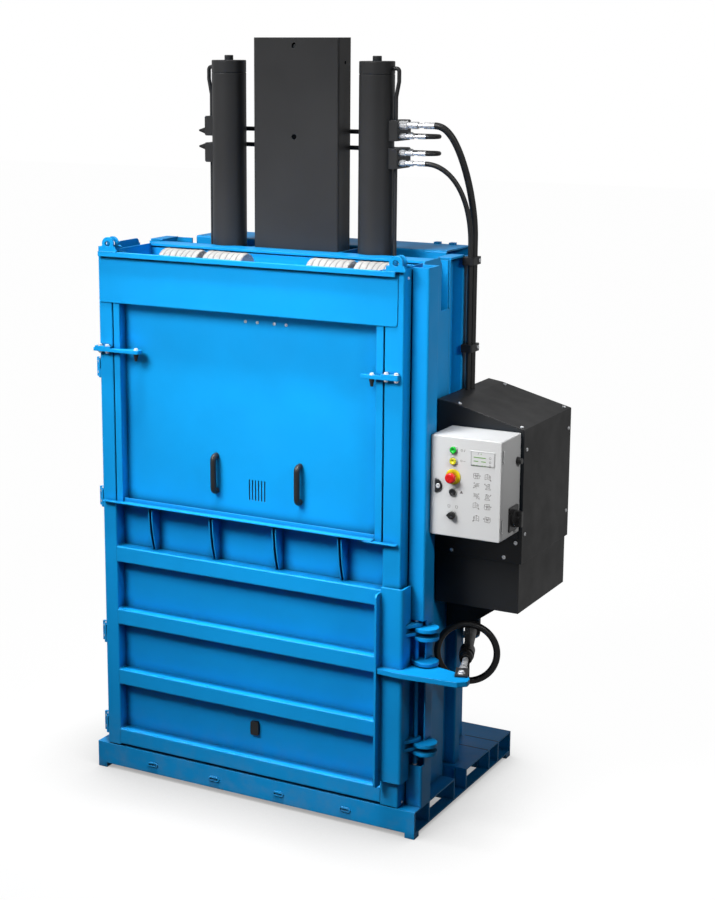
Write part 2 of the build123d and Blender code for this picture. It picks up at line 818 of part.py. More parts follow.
def lever():
    """The lever plate, with a wide hole that lets the tensioner's bolt follow the lever's turn."""
    x0, front = 600.5, -518.0
    outline = ((x0, -503), (x0 + 24, -512), (721.5, front), (948, -499), (978, -470), (975, -440),
               (940, -392), (898, -396), (761.5, -366), (pivot_x - 4, pivot_y + 24), (701, -408),
               (701, -471), (x0, -471))
    bar = prism(outline, lever_bottom, lever_bottom + lever_t)
    bar = fillet(bar.edges().filter_by(Axis.Z).sort_by(Axis.X)[-4:], 8)
    low, high = lever_bottom - 1, lever_bottom + lever_t + 1
    return bar - upright(lever_pin_x, lever_pin_y, low, high, lever_hole_r)


def tensioner_angle():
    """How far the tensioner is turned from X, in plan."""
    return degrees(atan2(axis_y, axis_x))


def clamp_pin():
    """The long pin on which the clamp turns, with a head above and a split pin below."""
    top = lobe_zs[0] + lobe_t + 0.4
    pin = upright(pivot_x, pivot_y, pin_low, top, pin_r)
    head = upright(pivot_x, pivot_y, top, top + 6, 12)
    split = across(pivot_x - 16, pivot_x + 16, pivot_y, pin_low + 17, 2.5)
    collar = upright(pivot_x, pivot_y, ear_zs[-1] - 6, ear_zs[-1], 14)
    return pin + head + split + collar


# Tensioner, drawn along +X from the lever's bolt and then turned to its place
def placed(shape):
    """Puts a shape drawn along +X from the lever's bolt onto the tensioner's axis."""
    return Location((lever_pin_x, lever_pin_y, spindle_z), (0, 0, tensioner_angle())) * shape


def clevis():
    """A black fork with its hexagon bolt through the lever's end."""
    t, gap = 8.0, lever_t / 2 + 1
    fork = block(-24, 52, -24, 24, gap, gap + t) + block(-24, 52, -24, 24, -gap - t, -gap)
    fork = fork + block(44, 60, -24, 24, -gap - t, gap + t)
    bolt = Cylinder(clevis_bolt_r, 2 * (gap + t) + 2)
    bolt = bolt + Pos(0, 0, gap + t) * extrude(RegularPolygon(9.5, 6), 8)
    nut = Pos(0, 0, -gap - t - 9) * extrude(RegularPolygon(9.5, 6), 9)
    return placed(joined(fork, bolt, nut))


def tension_spindle():
    """The threaded bar that draws the lever in."""
    end = 60.0
    return placed(across(end, wheel_from_pin + 130, 0, 0, spindle_r))


def handwheel():
    """A rim on two flat spokes, a hub and the long nut tube behind it."""
    s = wheel_from_pin
    rim = Pos(s, 0, 0) * Rot(0, 90, 0) * Rot(0, 0, 20) * Torus(wheel_r, wheel_tube_r)
    hub = across(s - 32, s + 30, 0, 0, 30) + across(s - 46, s - 32, 0, 0, 25)
    spokes = Pos(s, 0, 0) * Box(8, 22, 2 * wheel_r - 8)
    wheel = hub + spokes + rim
    far = pin_reach + 48
    nut = across(s + 20, far, 0, 0, tube_r)
    collars = across(pin_reach - 38, pin_reach - 24.4, 0, 0, 29)
    collars = collars + across(pin_reach + 24.4, pin_reach + 36, 0, 0, 27)
    wheel = wheel + nut + collars
    return placed(wheel - across(s - 60, far + 1, 0, 0, spindle_r + thread_clearance))


def anchor_block():
    """The swivel that holds the nut tube, on two short upright trunnions."""
    body = block(-24, 24, -30, 30, -30, 30)
    body = body + Cylinder(10, 92)
    body = Pos(pin_reach, 0, 0) * body
    return placed(body - across(pin_reach - 40, pin_reach + 40, 0, 0, tube_r + thread_clearance))


def anchor_bracket():
    """Two lugs on the column that carry the swivel."""
    gap, t = 31.0, 12.0
    low, high = spindle_z - gap - t, spindle_z + gap + t
    pad = block(rear_half + 20, wall_outer, column_back, column_back + 10, low - 14, high + 14)
    bracket = pad
    for z0 in (low, high - t):
        outline = ((rear_half + 30, column_back + 9), (wall_outer, column_back + 9),
                   (anchor_x + 24, anchor_y - 14), (anchor_x + 24, anchor_y + 14),
                   (anchor_x, anchor_y + 26), (anchor_x - 34, anchor_y + 22))
        lug = prism(outline, z0, z0 + t)
        bracket = bracket + lug
    return bracket - upright(anchor_x, anchor_y, low - 1, high + 1, 10 + pin_clearance)


# Power pack
def pack_outline(inset):
    left, right = pack_left + inset, pack_right - inset
    return (
        (left, pack_seam),
        (right, pack_seam),
        (right, pack_roof_low - inset),
        (left + 60, pack_roof_high - inset - 9),
        (left, pack_roof_high - inset),
    )


def pack_cover():
    """The black sheet housing with its sloping roof."""
    def body(inset, y0, y1, grow=0.0):
        points = [(x, -1.0, z - (grow if z == pack_seam else 0)) for x, z in pack_outline(inset)]
        face = make_face(Polyline(*points, close=True))
        return Pos(0, y0 + 1, 0) * extrude(face, y1 - y0, dir=(0, 1, 0))
    cover = body(0, pack_front, pack_back)
    cover = fillet(cover.edges().filter_by(Axis.Y).sort_by(Axis.X)[-1:], 4)
    cover = cover - body(pack_sheet, pack_front + pack_sheet, pack_back - pack_sheet, 5)
    for y, r in hose_lines():
        cover = cover - upright(hose_x, y, pack_roof_high - 60, pack_roof_high + 5, r + 0.4)
    return cover


def oil_tank():
    """The tank that is the lower half of the pack, set in a little at the outside, with its lid."""
    s = pack_sheet
    x1 = pack_right - 10
    y0, y1 = pack_front + 4, pack_back - 4
    outer = block(pack_left, x1, y0, y1, pack_bottom, pack_seam)
    inner = block(pack_left + s, x1 - s, y0 + s, y1 - s, pack_bottom + s, pack_seam - s)
    return outer - inner


def pump_motor():
    """The electric motor on its bell housing, with the pump below it in the tank's lid."""
    x, y = (pack_left + pack_right) / 2, 60.0
    z = pack_seam
    motor = upright(x, y, z + 60, z + 300, 85) + upright(x, y, z + 300, z + 335, 78)
    motor = motor + upright(x, y, z, z + 60, 60)
    foot = upright(x, y, z, z + 10, 95)
    terminal = block(x - 45, x + 45, y - 120, y - 70, z + 150, z + 230)
    return joined(motor, foot, terminal)


def pack_brackets():
    """The shelf under the pack and the plate that carries the control box."""
    y0, y1 = -43.0, 107.0
    low = pack_bottom - 147
    shelf = block(wall_outer, pack_right - 80, y0, y1, pack_bottom - plate, pack_bottom)
    back = block(wall_outer, pack_left, y0, y1, low, pack_roof_high - 201)
    corners = ((wall_outer, 0, low), (wall_outer + 65, 0, low), (pack_right - 100, 0, pack_bottom),
               (wall_outer, 0, pack_bottom))
    gusset = make_face(Polyline(*corners, close=True))
    support = shelf + back
    for y in (y0, y1 - plate):
        support = support + Pos(0, y, 0) * extrude(gusset, plate, dir=(0, 1, 0))
    carrier = block(box_left + 2, box_right - 4.5, pack_front - 6, pack_front, box_bottom - 32, box_top - 14)
    return [support, carrier]


def pack_screws():
    """Screws in the two housings."""
    front_places = ((pack_left + 67.5, 19), (pack_right - 25.5, 82), (pack_right - 72.5, 19))
    heads = [front_bolt(x, pack_front, pack_seam + up, 7, 4) for x, up in front_places]
    for y, up in ((-142, 448), (-142, 115), (296, 448), (296, 108)):
        heads.append(across(pack_right, pack_right + 4, y, pack_seam + up, 6))
    run, fall = pack_right - pack_left - 60, pack_roof_high - 9 - pack_roof_low
    tilt = degrees(atan2(fall, run))
    for x in (pack_left + 81.5, pack_right - 20.5):
        for y in (-146.0, 296.0):
            z = pack_roof_high - 9 - fall / run * (x - pack_left - 60)
            heads.append(Location((x, y, z), (0, tilt, 0)) * Pos(0, 0, 2) * Cylinder(7, 4))
    return heads


# Control box
def control_box():
    """The light steel cabinet, open to the front behind its door."""
    y0 = pack_front - 6 - box_depth + lid_depth + 0.4
    y1 = pack_front - 6
    body = block(box_left, box_right, y0, y1, box_bottom, box_top)
    body = fillet(body.edges().filter_by(Axis.Y), 5)
    return body - block(box_left + 2, box_right - 2, y0 - 1, y1 - 2, box_bottom + 2, box_top - 2)


def lid_front():
    return pack_front - 6 - box_depth


def control_holes():
    """Diameters and places of what sits in the control door."""
    return (
        (control_x, green_z, 11.0),
        (control_x, yellow_z, 11.0),
        (control_x, mushroom_z, 11.0),
        (control_x, black_z, 11.0),
        (control_x, selector_z, 11.0),
        (lock_x, lock_z, 9.0),
    )


def control_door():
    """The cabinet's door, a shallow folded tray."""
    y = lid_front()
    tray = block(box_left, box_right, y, y + lid_depth, box_bottom, box_top)
    tray = fillet(tray.edges().filter_by(Axis.Y), 6)
    tray = fillet(tray.edges().group_by(Axis.Y)[0], 3)
    tray = tray - block(box_left + 2, box_right - 2, y + 2, y + lid_depth + 1, box_bottom + 2, box_top - 2)
    for x, z, r in control_holes():
        tray = tray - deep(x, y - 1, y + 4, z, r)
    for z in (box_bottom + 60, box_top - 60):
        tray = tray + Pos(box_right + 2.5, y + lid_depth - 3.5, z) * Cylinder(3.5, 50)
    return tray


def display_window():
    """The display with its frame."""
    y = lid_front()
    window = block(box_right - 122.5, box_right - 24.5, y - 2, y, box_top - 100, box_top - 43)
    return chamfer(window.edges().group_by(Axis.Y)[0], 1)


def push_button(z):
    """A push button: a head and the stem through the door."""
    y = lid_front()
    head = deep(control_x, y - 11, y - 5, z, 10.6)
    head = fillet(head.edges().group_by(Axis.Y)[0], 2)
    return head + deep(control_x, y - 6, y + 12, z, 8)


def button_collars():
    """The fixed collars round the buttons."""
    y = lid_front()
    rings = []
    for z in (green_z, yellow_z, black_z, selector_z):
        rings.append(deep(control_x, y - 5, y, z, 14.5) - deep(control_x, y - 6, y + 1, z, 11.5))
    plate_z = mushroom_z
    rings.append(deep(control_x, y - 3, y, plate_z, 30) - deep(control_x, y - 4, y + 1, plate_z, 11.5))
    return rings


def emergency_stop():
    """A mushroom head on its stem."""
    y = lid_front()
    z = mushroom_z
    stem = deep(control_x, y - 26, y + 12, z, 10.6)
    head = deep(control_x, y - 38, y - 22, z, 20)
    return fillet(head.edges().group_by(Axis.Y)[0], 7) + stem


def selector_knob():
    """A turning switch with a raised bar."""
    y = lid_front()
    z = selector_z
    knob = deep(control_x, y - 12, y + 12, z, 10.6) + deep(control_x, y - 14, y - 6, z, 13)
    return knob + block(control_x - 4, control_x + 4, y - 24, y - 8, z - 13, z + 13)


def door_lock():
    """A half-moon turning latch with its barrel."""
    y = lid_front()
    x, z = lock_x, lock_z
    moon = deep(x, y - 10, y - 2, z, 26) - block(x + 2, x + 40, y - 20, y + 1, z - 40, z + 40)
    return joined(moon, deep(x, y - 14, y + 18, z, 8.6), block(x - 27, x - 4, y + 10, y + 14, z - 8, z + 8))


def main_switch_plate():
    """The square plate of the main switch on the box's right side."""
    x, y, z = box_right, switch_y(), switch_z
    plate_body = block(x, x + 6, y - 42.5, y + 42.5, z - 47, z + 47)
    plate_body = fillet(plate_body.edges().filter_by(Axis.X), 6)
    return plate_body - across(x - 1, x + 7, y, z, 14.3)


def switch_y():
    return lid_front() + switch_back


def main_switch_knob():
    x, y, z = box_right, switch_y(), switch_z
    knob = across(x + 0.3, x + 30, y, z, 14) + across(x + 6.4, x + 20, y, z, 34)
    return knob + block(x + 18, x + 40, y - 8, y + 8, z - 30, z + 30)


def cable_gland():
    """A blanking gland on the box's right side."""
    x, y, z = box_right, lid_front() + 156, box_top - 101
    return across(x, x + 8, y, z, 15) + across(x + 8, x + 20, y, z, 11)


# Hydraulics
def manifold_blocks():
    """Port blocks on the outer side of each cylinder."""
    blocks = []
    for sign in (-1, 1):
        for z0, z1 in (upper_block, lower_block):
            inner = sign * (cylinder_x + cylinder_r - 12)
            outer = sign * (port_x + block_width / 2 + 4)
            body = block(*sorted((inner, outer)), -26, 96, z0, z1)
            body = chamfer(body.edges().filter_by(Axis.Y).sort_by(Axis.X)[-2:] if sign > 0
                           else body.edges().filter_by(Axis.Y).sort_by(Axis.X)[:2], 5)
            blocks.append(body - upright(sign * cylinder_x, 0, z0 - 1, z1 + 1, cylinder_r))
    return blocks


def hydraulic_pipes():
    """Steel lines from each block to the cap and the foot of its cylinder, and two cross lines."""
    pipes = []
    edge = cylinder_x + cylinder_r
    for sign in (-1, 1):
        x = sign * port_x
        bow = sign * (port_x + 12)
        high = cylinder_top - 28
        upper = tube(((sign * (edge - 8), 0, high), (bow, 0, high), (bow, 0, high - 50), (x, 0, high - 110),
                      (x, 0, upper_block[1])), pipe_r, 12)
        lower = upright(x, 0, cylinder_bottom + 20, lower_block[0], pipe_r)
        lower = lower + across(*sorted((sign * (edge - 8), x)), 0, cylinder_bottom + 28, pipe_r)
        barrel = upright(sign * cylinder_x, 0, cylinder_bottom, cylinder_top, cylinder_r)
        pipes += [upper - barrel, lower - barrel]
    inner = cylinder_x + cylinder_r - 12
    for z in (upper_block[1] - 53, lower_block[1] - 9):
        pipes.append(across(-inner, inner, cross_y, z, pipe_r + 1))
    return pipes


def fitting(x0, length, z, r, y=0.0):
    """A screwed hose end: union nut, sleeve and crimped ferrule, turned in one."""
    steps = ((0.0, 0.22, 1.0), (0.22, 0.3, 0.75), (0.3, 0.52, 0.95), (0.52, 0.7, 0.6), (0.7, 1.0, 0.85))
    body = None
    for a, b, k in steps:
        ring = across(x0 + a * length, x0 + b * length, y, z, r * k)
        body = ring if body is None else body + ring
    nut = Pos(x0, y, z) * Rot(0, 90, 0) * extrude(RegularPolygon(r * 1.12, 6), 0.22 * length)
    return body + nut


def block_face():
    return port_x + block_width / 2 + 4


def fitting_rows():
    """Height, length and radius of the four hose ends."""
    upper, lower = upper_block[1], lower_block[1]
    return (
        (upper - row_near_top, 150.0, 15.0),
        (upper - row_second, 112.0, 11.0),
        (lower - row_near_top, 112.0, 11.0),
        (lower - row_third, 112.0, 11.5),
    )


def bridge_heights():
    """The two rows where a short hose leads back to its block."""
    rows = fitting_rows()
    return (rows[1][0], rows[2][0])


def hose_fittings():
    x = block_face()
    ends = [fitting(x, length, z, r) for z, length, r in fitting_rows()]
    for z in bridge_heights():
        ends.append(Pos(x, 70, z) * Rot(0, 90, 0) * extrude(RegularPolygon(13, 6), 22))
    return ends + port_plugs()


def port_plugs():
    """Blanked ports on the left blocks."""
    x = -block_face()
    plugs = []
    for z in bridge_heights():
        nut = Pos(x, 0, z) * Rot(0, -90, 0) * extrude(RegularPolygon(15, 6), 14)
        cone = Pos(x - 28, 0, z) * Rot(0, -90, 0) * Cone(13, 4, 28)
        plugs.append(nut + cone)
    return plugs


def hose_lines():
    """Depth and radius of the two long hoses where they run down the column."""
    return ((103.0, hose_r), (66.0, thin_hose_r))


def hydraulic_hoses():
    """Two long hoses to the power pack and two short bridges at the blocks."""
    hoses = []
    x = block_face()
    (z_big, len_big, _), _, _, (z_low, len_low, _) = fitting_rows()
    (y_big, r_big), (y_low, r_low) = hose_lines()
    end = pack_seam
    start = x + len_big
    big = Bezier((start, 0, z_big), (start + 70, 0, z_big), (hose_x - 28, 26, z_big - 84),
                 (hose_x, y_big, z_big - 272), (hose_x, y_big, z_big - 432))
    start = x + len_low
    low = Bezier((start, 0, z_low), (start + 86, 0, z_low), (hose_x - 16, y_low * 0.4, z_low - 70),
                 (hose_x, y_low, z_low - 190), (hose_x, y_low, z_low - 315))
    for curve, r in ((big, r_big), (low, r_low)):
        foot = curve @ 1
        path = Wire([curve.edge(), Edge.make_line(foot, (foot.X, foot.Y, end))])
        hoses.append(sweep(Plane(path @ 0, z_dir=path % 0) * Circle(r), path=path))
    tip = x + 112
    for z in bridge_heights():
        points = ((tip, 0, z), (tip + 36, 0, z), (tip + 36, 70, z), (x + 22, 70, z))
        hoses.append(tube(points, 8.5, 34))
    return hoses


def hose_clamps():
    """Two saddles that hold the long hoses on the column."""
    clamps = []
    (y_big, r_big), (y_low, r_low) = hose_lines()
    for z in saddle_heights():
        x1 = hose_x + r_big + 8
        body = block(wall_outer, x1, y_low - r_low - 9, y_big + r_big + 9, z - 15, z + 15)
        body = fillet(body.edges().filter_by(Axis.Z).sort_by(Axis.X)[-2:], 7)
        for y, r in hose_lines():
            body = body - upright(hose_x, y, z - 16, z + 16, r)
        clamps.append(body)
    return clamps


def clamp_bolts():
    """Bolts through the two saddles."""
    x1 = hose_x + hose_r + 8
    y = hose_lines()[0][0] + 5
    return [across(x1, x1 + 7, y, z, 7) for z in saddle_heights()]


def saddle_heights():
    return (frame_top - 16, frame_top - 361)


NODES = {
    "base_frame": base_frame,
    "chamber_floor": chamber_floor,
    "side_wall_left": lambda: side_wall(-1),
    "side_wall_right": lambda: side_wall(1),
    "rear_wall": rear_wall,
    "side_columns": side_columns,
    "corner_post": corner_post,
    "front_beam": front_beam,
    "rear_beam": rear_beam,
    "roll_tray": roll_tray,
    "strap_rolls": strap_rolls,
    "guide_tower": guide_tower,
    "cylinder_barrels": cylinder_barrels,
    "piston_rods": piston_rods,
    "press_plate": press_plate,
    "guide_mast": guide_mast,
    "door_frame": door_frame,
    "door_panels": door_panels,
    "header_plate": header_plate,
    "lifting_lugs": lifting_lugs,
    "guide_strips": guide_strips,
    "strap_guide_ribs": strap_guide_ribs,
    "hinge_leaves": hinge_leaves,
    "hinge_pins": hinge_pins,
    "stop_brackets": stop_brackets,
    "stop_buffers": stop_buffers,
    "bolts": bolts,
    "door_grip": door_grip,
    "gate_panel": gate_panel,
    "gate_handles": gate_handles,
    "gate_bolts": gate_bolts,
    "clamp_arm": clamp_arm,
    "clamp_pin": clamp_pin,
    "clevis": clevis,
    "tension_spindle": tension_spindle,
    "handwheel": handwheel,
    "anchor_block": anchor_block,
    "anchor_bracket": anchor_bracket,
    "pack_cover": pack_cover,
    "oil_tank": oil_tank,
    "pump_motor": pump_motor,
    "pack_brackets": pack_brackets,
    "control_box": control_box,
    "control_door": control_door,
    "display_window": display_window,
    "button_collars": button_collars,
    "green_button": lambda: push_button(green_z),
    "yellow_button": lambda: push_button(yellow_z),
    "black_button": lambda: push_button(black_z),
    "emergency_stop": emergency_stop,
    "selector_knob": selector_knob,
    "door_lock": door_lock,
    "main_switch_plate": main_switch_plate,
    "main_switch_knob": main_switch_knob,
    "cable_gland": cable_gland,
    "manifold_blocks": manifold_blocks,
    "hydraulic_pipes": hydraulic_pipes,
    "hose_fittings": hose_fittings,
    "hydraulic_hoses": hydraulic_hoses,
    "hose_clamps": hose_clamps,
}


os.makedirs("parts", exist_ok=True)
for name, build in NODES.items():
    made = build()
    solids = [s for piece in (made if isinstance(made, list) else [made]) for s in piece.solids()]
    export_step(Compound(children=solids), f"parts/{name}.step")
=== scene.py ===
import math
import random

import bmesh
import bpy
from mathutils import Matrix, Vector


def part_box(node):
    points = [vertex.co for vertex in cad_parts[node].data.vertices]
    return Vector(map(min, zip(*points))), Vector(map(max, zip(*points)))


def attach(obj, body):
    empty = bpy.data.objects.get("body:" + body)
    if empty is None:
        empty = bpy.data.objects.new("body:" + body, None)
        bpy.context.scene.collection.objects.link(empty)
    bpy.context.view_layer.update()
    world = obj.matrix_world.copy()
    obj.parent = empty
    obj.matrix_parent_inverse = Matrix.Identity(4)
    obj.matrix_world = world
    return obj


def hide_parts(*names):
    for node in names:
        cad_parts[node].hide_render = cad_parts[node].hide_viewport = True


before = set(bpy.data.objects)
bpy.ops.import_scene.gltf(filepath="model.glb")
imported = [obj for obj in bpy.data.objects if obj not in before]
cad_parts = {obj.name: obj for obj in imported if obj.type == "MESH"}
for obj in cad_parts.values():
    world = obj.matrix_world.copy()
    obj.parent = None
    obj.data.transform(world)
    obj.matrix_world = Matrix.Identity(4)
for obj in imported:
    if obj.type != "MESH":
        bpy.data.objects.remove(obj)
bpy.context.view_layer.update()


# Base
# Two open channels of folded plate on square pads, with pockets for lifting forks between their ribs.
# They are welded, shot-blasted and powder-coated blue, like every other fabricated part of the machine.
BALER_BLUE = (0.004, 0.335, 0.800)
# Lighter blue along rounded edges: partly worn paint, partly a painted highlight.
WORN_AND_HIGHLIT_BLUE = (0.080, 0.480, 0.900)
FLOOR_DUST = (0.330, 0.310, 0.280)
# Near-black blue for painted shade in corners and creases.
PAINTED_CORNER_SHADE = (0.001, 0.010, 0.020)
EDGE_RADIUS, CORNER_SHADE_REACH = 0.0036, 0.055


def shown(name, data):
    """Puts a new object with this data into the scene."""
    made = bpy.data.objects.new(name, data)
    bpy.context.scene.collection.objects.link(made)
    return made


def shown_mesh(name, mesh):
    """Turns a bmesh into an object and frees it."""
    data = bpy.data.meshes.new(name)
    mesh.to_mesh(data)
    mesh.free()
    return shown(name, data)


def finished(thing, material, body):
    """Gives a piece its finish and lets it ride on a body."""
    thing.data.materials.append(material)
    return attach(thing, body)


def new_material(name):
    """An empty material with its tree and shader."""
    material = bpy.data.materials.new(name)
    material.use_nodes = True
    return material, material.node_tree, material.node_tree.nodes["Principled BSDF"]


def tune(node, **values):
    """Sets a node's inputs by their names, with an underscore for a space."""
    for label, value in values.items():
        node.inputs[label.replace("_", " ").title()].default_value = value


def bumped(tree, shader, height, strength, distance):
    """Raises a fine relief on a shader's surface."""
    bump = tree.nodes.new("ShaderNodeBump")
    tune(bump, strength=strength, distance=distance)
    tree.links.new(height, bump.inputs["Height"])
    tree.links.new(bump.outputs["Normal"], shader.inputs["Normal"])


def new_group(name, inputs, outputs):
    """An empty shader group with its named sockets."""
    tree = bpy.data.node_groups.new(name, "ShaderNodeTree")
    for label, kind, value in inputs:
        socket = tree.interface.new_socket(label, in_out="INPUT", socket_type=kind)
        socket.default_value = value
    for label, kind in outputs:
        tree.interface.new_socket(label, in_out="OUTPUT", socket_type=kind)
    return tree, tree.nodes.new("NodeGroupInput"), tree.nodes.new("NodeGroupOutput")


def feed(tree, value, socket):
    """Gives a socket a plain value or the value of another socket."""
    if isinstance(value, bpy.types.NodeSocket):
        tree.links.new(value, socket)
    else:
        socket.default_value = value


def maths(tree, operation, a, b=0.0, clamp=False):
    """One maths node whose inputs are sockets or plain numbers."""
    node = tree.nodes.new("ShaderNodeMath")
    node.operation, node.use_clamp = operation, clamp
    feed(tree, a, node.inputs[0])
    feed(tree, b, node.inputs[1])
    return node.outputs[0]


def object_place(tree):
    """The shaded point in the object's own metres."""
    return tree.nodes.new("ShaderNodeTexCoord").outputs["Object"]


def noise(tree, coordinates, scale, detail=2.0, roughness=0.5):
    """Noise from 0 to 1, with its scale in lumps per metre."""
    node = tree.nodes.new("ShaderNodeTexNoise")
    tune(node, scale=scale, detail=detail, roughness=roughness)
    tree.links.new(coordinates, node.inputs["Vector"])
    return node.outputs["Fac"]


def spread(tree, value, low, high, to_low=0.0, to_high=1.0):
    """Maps low..high of a value onto to_low..to_high, held at the ends."""
    node = tree.nodes.new("ShaderNodeMapRange")
    tune(node, from_min=low, from_max=high, to_min=to_low, to_max=to_high)
    tree.links.new(value, node.inputs["Value"])
    return node.outputs["Result"]


def mixed(tree, share, a, b):
    """Mixes two colours, each a socket or three numbers."""
    node = tree.nodes.new("ShaderNodeMix")
    node.data_type = "RGBA"
    tree.links.new(share, node.inputs["Factor"])
    for colour, socket in ((a, node.inputs[6]), (b, node.inputs[7])):
        feed(tree, (*colour, 1.0) if isinstance(colour, tuple) else colour, socket)
    return node.outputs[2]


def powder_coat_group():
    """Sprayed powder: faint clouds, orange peel, edges lighter for wear and as a painted highlight, painted
    shade in corners, dust low down.
    """
    tree, start, end = new_group(
        "powder_coat",
        (
            ("Paint", "NodeSocketColor", (*BALER_BLUE, 1.0)),
            ("Rubbed", "NodeSocketColor", (*WORN_AND_HIGHLIT_BLUE, 1.0)),
            ("Clouds", "NodeSocketFloat", 0.05),
            ("Rub", "NodeSocketFloat", 0.42),
            ("Dust", "NodeSocketFloat", 0.2),
            ("Peel", "NodeSocketFloat", 0.08),
            ("Sheen Low", "NodeSocketFloat", 0.36),
            ("Corner Shade", "NodeSocketFloat", 0.80),
        ),
        (("Color", "NodeSocketColor"), ("Roughness", "NodeSocketFloat"), ("Normal", "NodeSocketVector")),
    )
    place, link = object_place(tree), tree.links.new
    rounded = tree.nodes.new("ShaderNodeBevel")
    rounded.samples = 4
    tune(rounded, radius=EDGE_RADIUS)
    true_normal = tree.nodes.new("ShaderNodeNewGeometry").outputs["Normal"]
    lean = tree.nodes.new("ShaderNodeVectorMath")
    lean.operation = "DOT_PRODUCT"
    link(rounded.outputs["Normal"], lean.inputs[0])
    link(true_normal, lean.inputs[1])
    # Edges found by the rounded normal get the lighter colour: wear and a painted highlight.
    edge = spread(tree, lean.outputs["Value"], 0.995, 0.86)
    clouds = spread(tree, noise(tree, place, 3.2, 3.0), 0.3, 0.7, -1.0, 1.0)
    clouds = maths(tree, "MULTIPLY", clouds, start.outputs["Clouds"])
    shade = tree.nodes.new("ShaderNodeHueSaturation")
    link(maths(tree, "ADD", clouds, 1.0), shade.inputs["Value"])
    link(start.outputs["Paint"], shade.inputs["Color"])
    patchy = spread(tree, noise(tree, place, 34.0, 4.0, 0.65), 0.48, 0.68, 0.45, 1.0)
    rub = maths(tree, "MULTIPLY", maths(tree, "MULTIPLY", edge, patchy), start.outputs["Rub"], True)
    colour = mixed(tree, rub, shade.outputs["Color"], start.outputs["Rubbed"])
    height = tree.nodes.new("ShaderNodeSeparateXYZ")
    link(place, height.inputs[0])
    low = spread(tree, height.outputs["Z"], 0.30, 0.0)
    settled = spread(tree, noise(tree, place, 14.0, 5.0, 0.6), 0.42, 0.75)
    dust = maths(tree, "MULTIPLY", maths(tree, "MULTIPLY", low, settled), start.outputs["Dust"], True)
    colour = mixed(tree, dust, colour, FLOOR_DUST)
    # Ambient occlusion darkens corners and creases towards near-black: painted shade.
    corner = tree.nodes.new("ShaderNodeAmbientOcclusion")
    corner.samples = 6
    tune(corner, distance=CORNER_SHADE_REACH)
    closed = spread(tree, corner.outputs["AO"], 0.80, 0.30)
    corner_shade = maths(tree, "MULTIPLY", closed, start.outputs["Corner Shade"], True)
    colour = mixed(tree, corner_shade, colour, PAINTED_CORNER_SHADE)
    link(colour, end.inputs["Color"])
    dull = spread(tree, noise(tree, place, 9.0, 3.0), 0.3, 0.7, 0.0, 0.10)
    dull = maths(tree, "ADD", dull, start.outputs["Sheen Low"])
    dull = maths(tree, "ADD", dull, maths(tree, "MULTIPLY", dust, 0.5), True)
    link(dull, end.inputs["Roughness"])
    peel = tree.nodes.new("ShaderNodeBump")
    tune(peel, distance=0.0006)
    link(start.outputs["Peel"], peel.inputs["Strength"])
    link(noise(tree, place, 520.0, 1.0), peel.inputs["Height"])
    link(rounded.outputs["Normal"], peel.inputs["Normal"])
    link(peel.outputs["Normal"], end.inputs["Normal"])
    return tree


POWDER_COAT = powder_coat_group()


def coated_steel(name, paint, rubbed, specular=0.22, **amounts):
    """Painted or powder-coated plate."""
    material, tree, shader = new_material(name)
    coat = tree.nodes.new("ShaderNodeGroup")
    coat.node_tree = POWDER_COAT
    tune(coat, paint=(*paint, 1.0), rubbed=(*rubbed, 1.0), **amounts)
    for coat_label, label in (("Color", "Base Color"), ("Roughness", "Roughness"), ("Normal", "Normal")):
        tree.links.new(coat.outputs[coat_label], shader.inputs[label])
    shader.inputs["Specular IOR Level"].default_value = specular
    return material


blue_coat = coated_steel("blue_powder_coat", BALER_BLUE, WORN_AND_HIGHLIT_BLUE)


def dress(material, *nodes):
    """Gives CAD nodes their finish."""
    for name in nodes:
        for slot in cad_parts[name].material_slots:
            slot.material = material


dress(blue_coat, "base_frame")


def geometry_group(name, source, amounts, result):
    """A geometry tree with its sockets and its first and last node."""
    tree = bpy.data.node_groups.new(name, "GeometryNodeTree")
    face = tree.interface
    face.new_socket(source, in_out="INPUT", socket_type="NodeSocketGeometry")
    for label, value in amounts:
        kind = "NodeSocketInt" if isinstance(value, int) else "NodeSocketFloat"
        face.new_socket(label, in_out="INPUT", socket_type=kind).default_value = value
    face.new_socket("Finish", in_out="INPUT", socket_type="NodeSocketMaterial")
    face.new_socket(result, in_out="OUTPUT", socket_type="NodeSocketGeometry")
    return tree, tree.nodes.new("NodeGroupInput"), tree.nodes.new("NodeGroupOutput")


def lay_out(tree, start, end, points, instance, rotation, scale=None):
    """Lays an instance on points, makes it real, paints it and hands it to the last node."""
    new, link = tree.nodes.new, tree.links.new
    lay, whole = new("GeometryNodeInstanceOnPoints"), new("GeometryNodeRealizeInstances")
    paint = new("GeometryNodeSetMaterial")
    link(points, lay.inputs["Points"])
    link(instance, lay.inputs["Instance"])
    link(rotation, lay.inputs["Rotation"])
    if scale is not None:
        link(scale, lay.inputs["Scale"])
    link(lay.outputs[0], whole.inputs[0])
    link(whole.outputs[0], paint.inputs["Geometry"])
    link(start.outputs["Finish"], paint.inputs["Material"])
    link(paint.outputs[0], end.inputs[0])


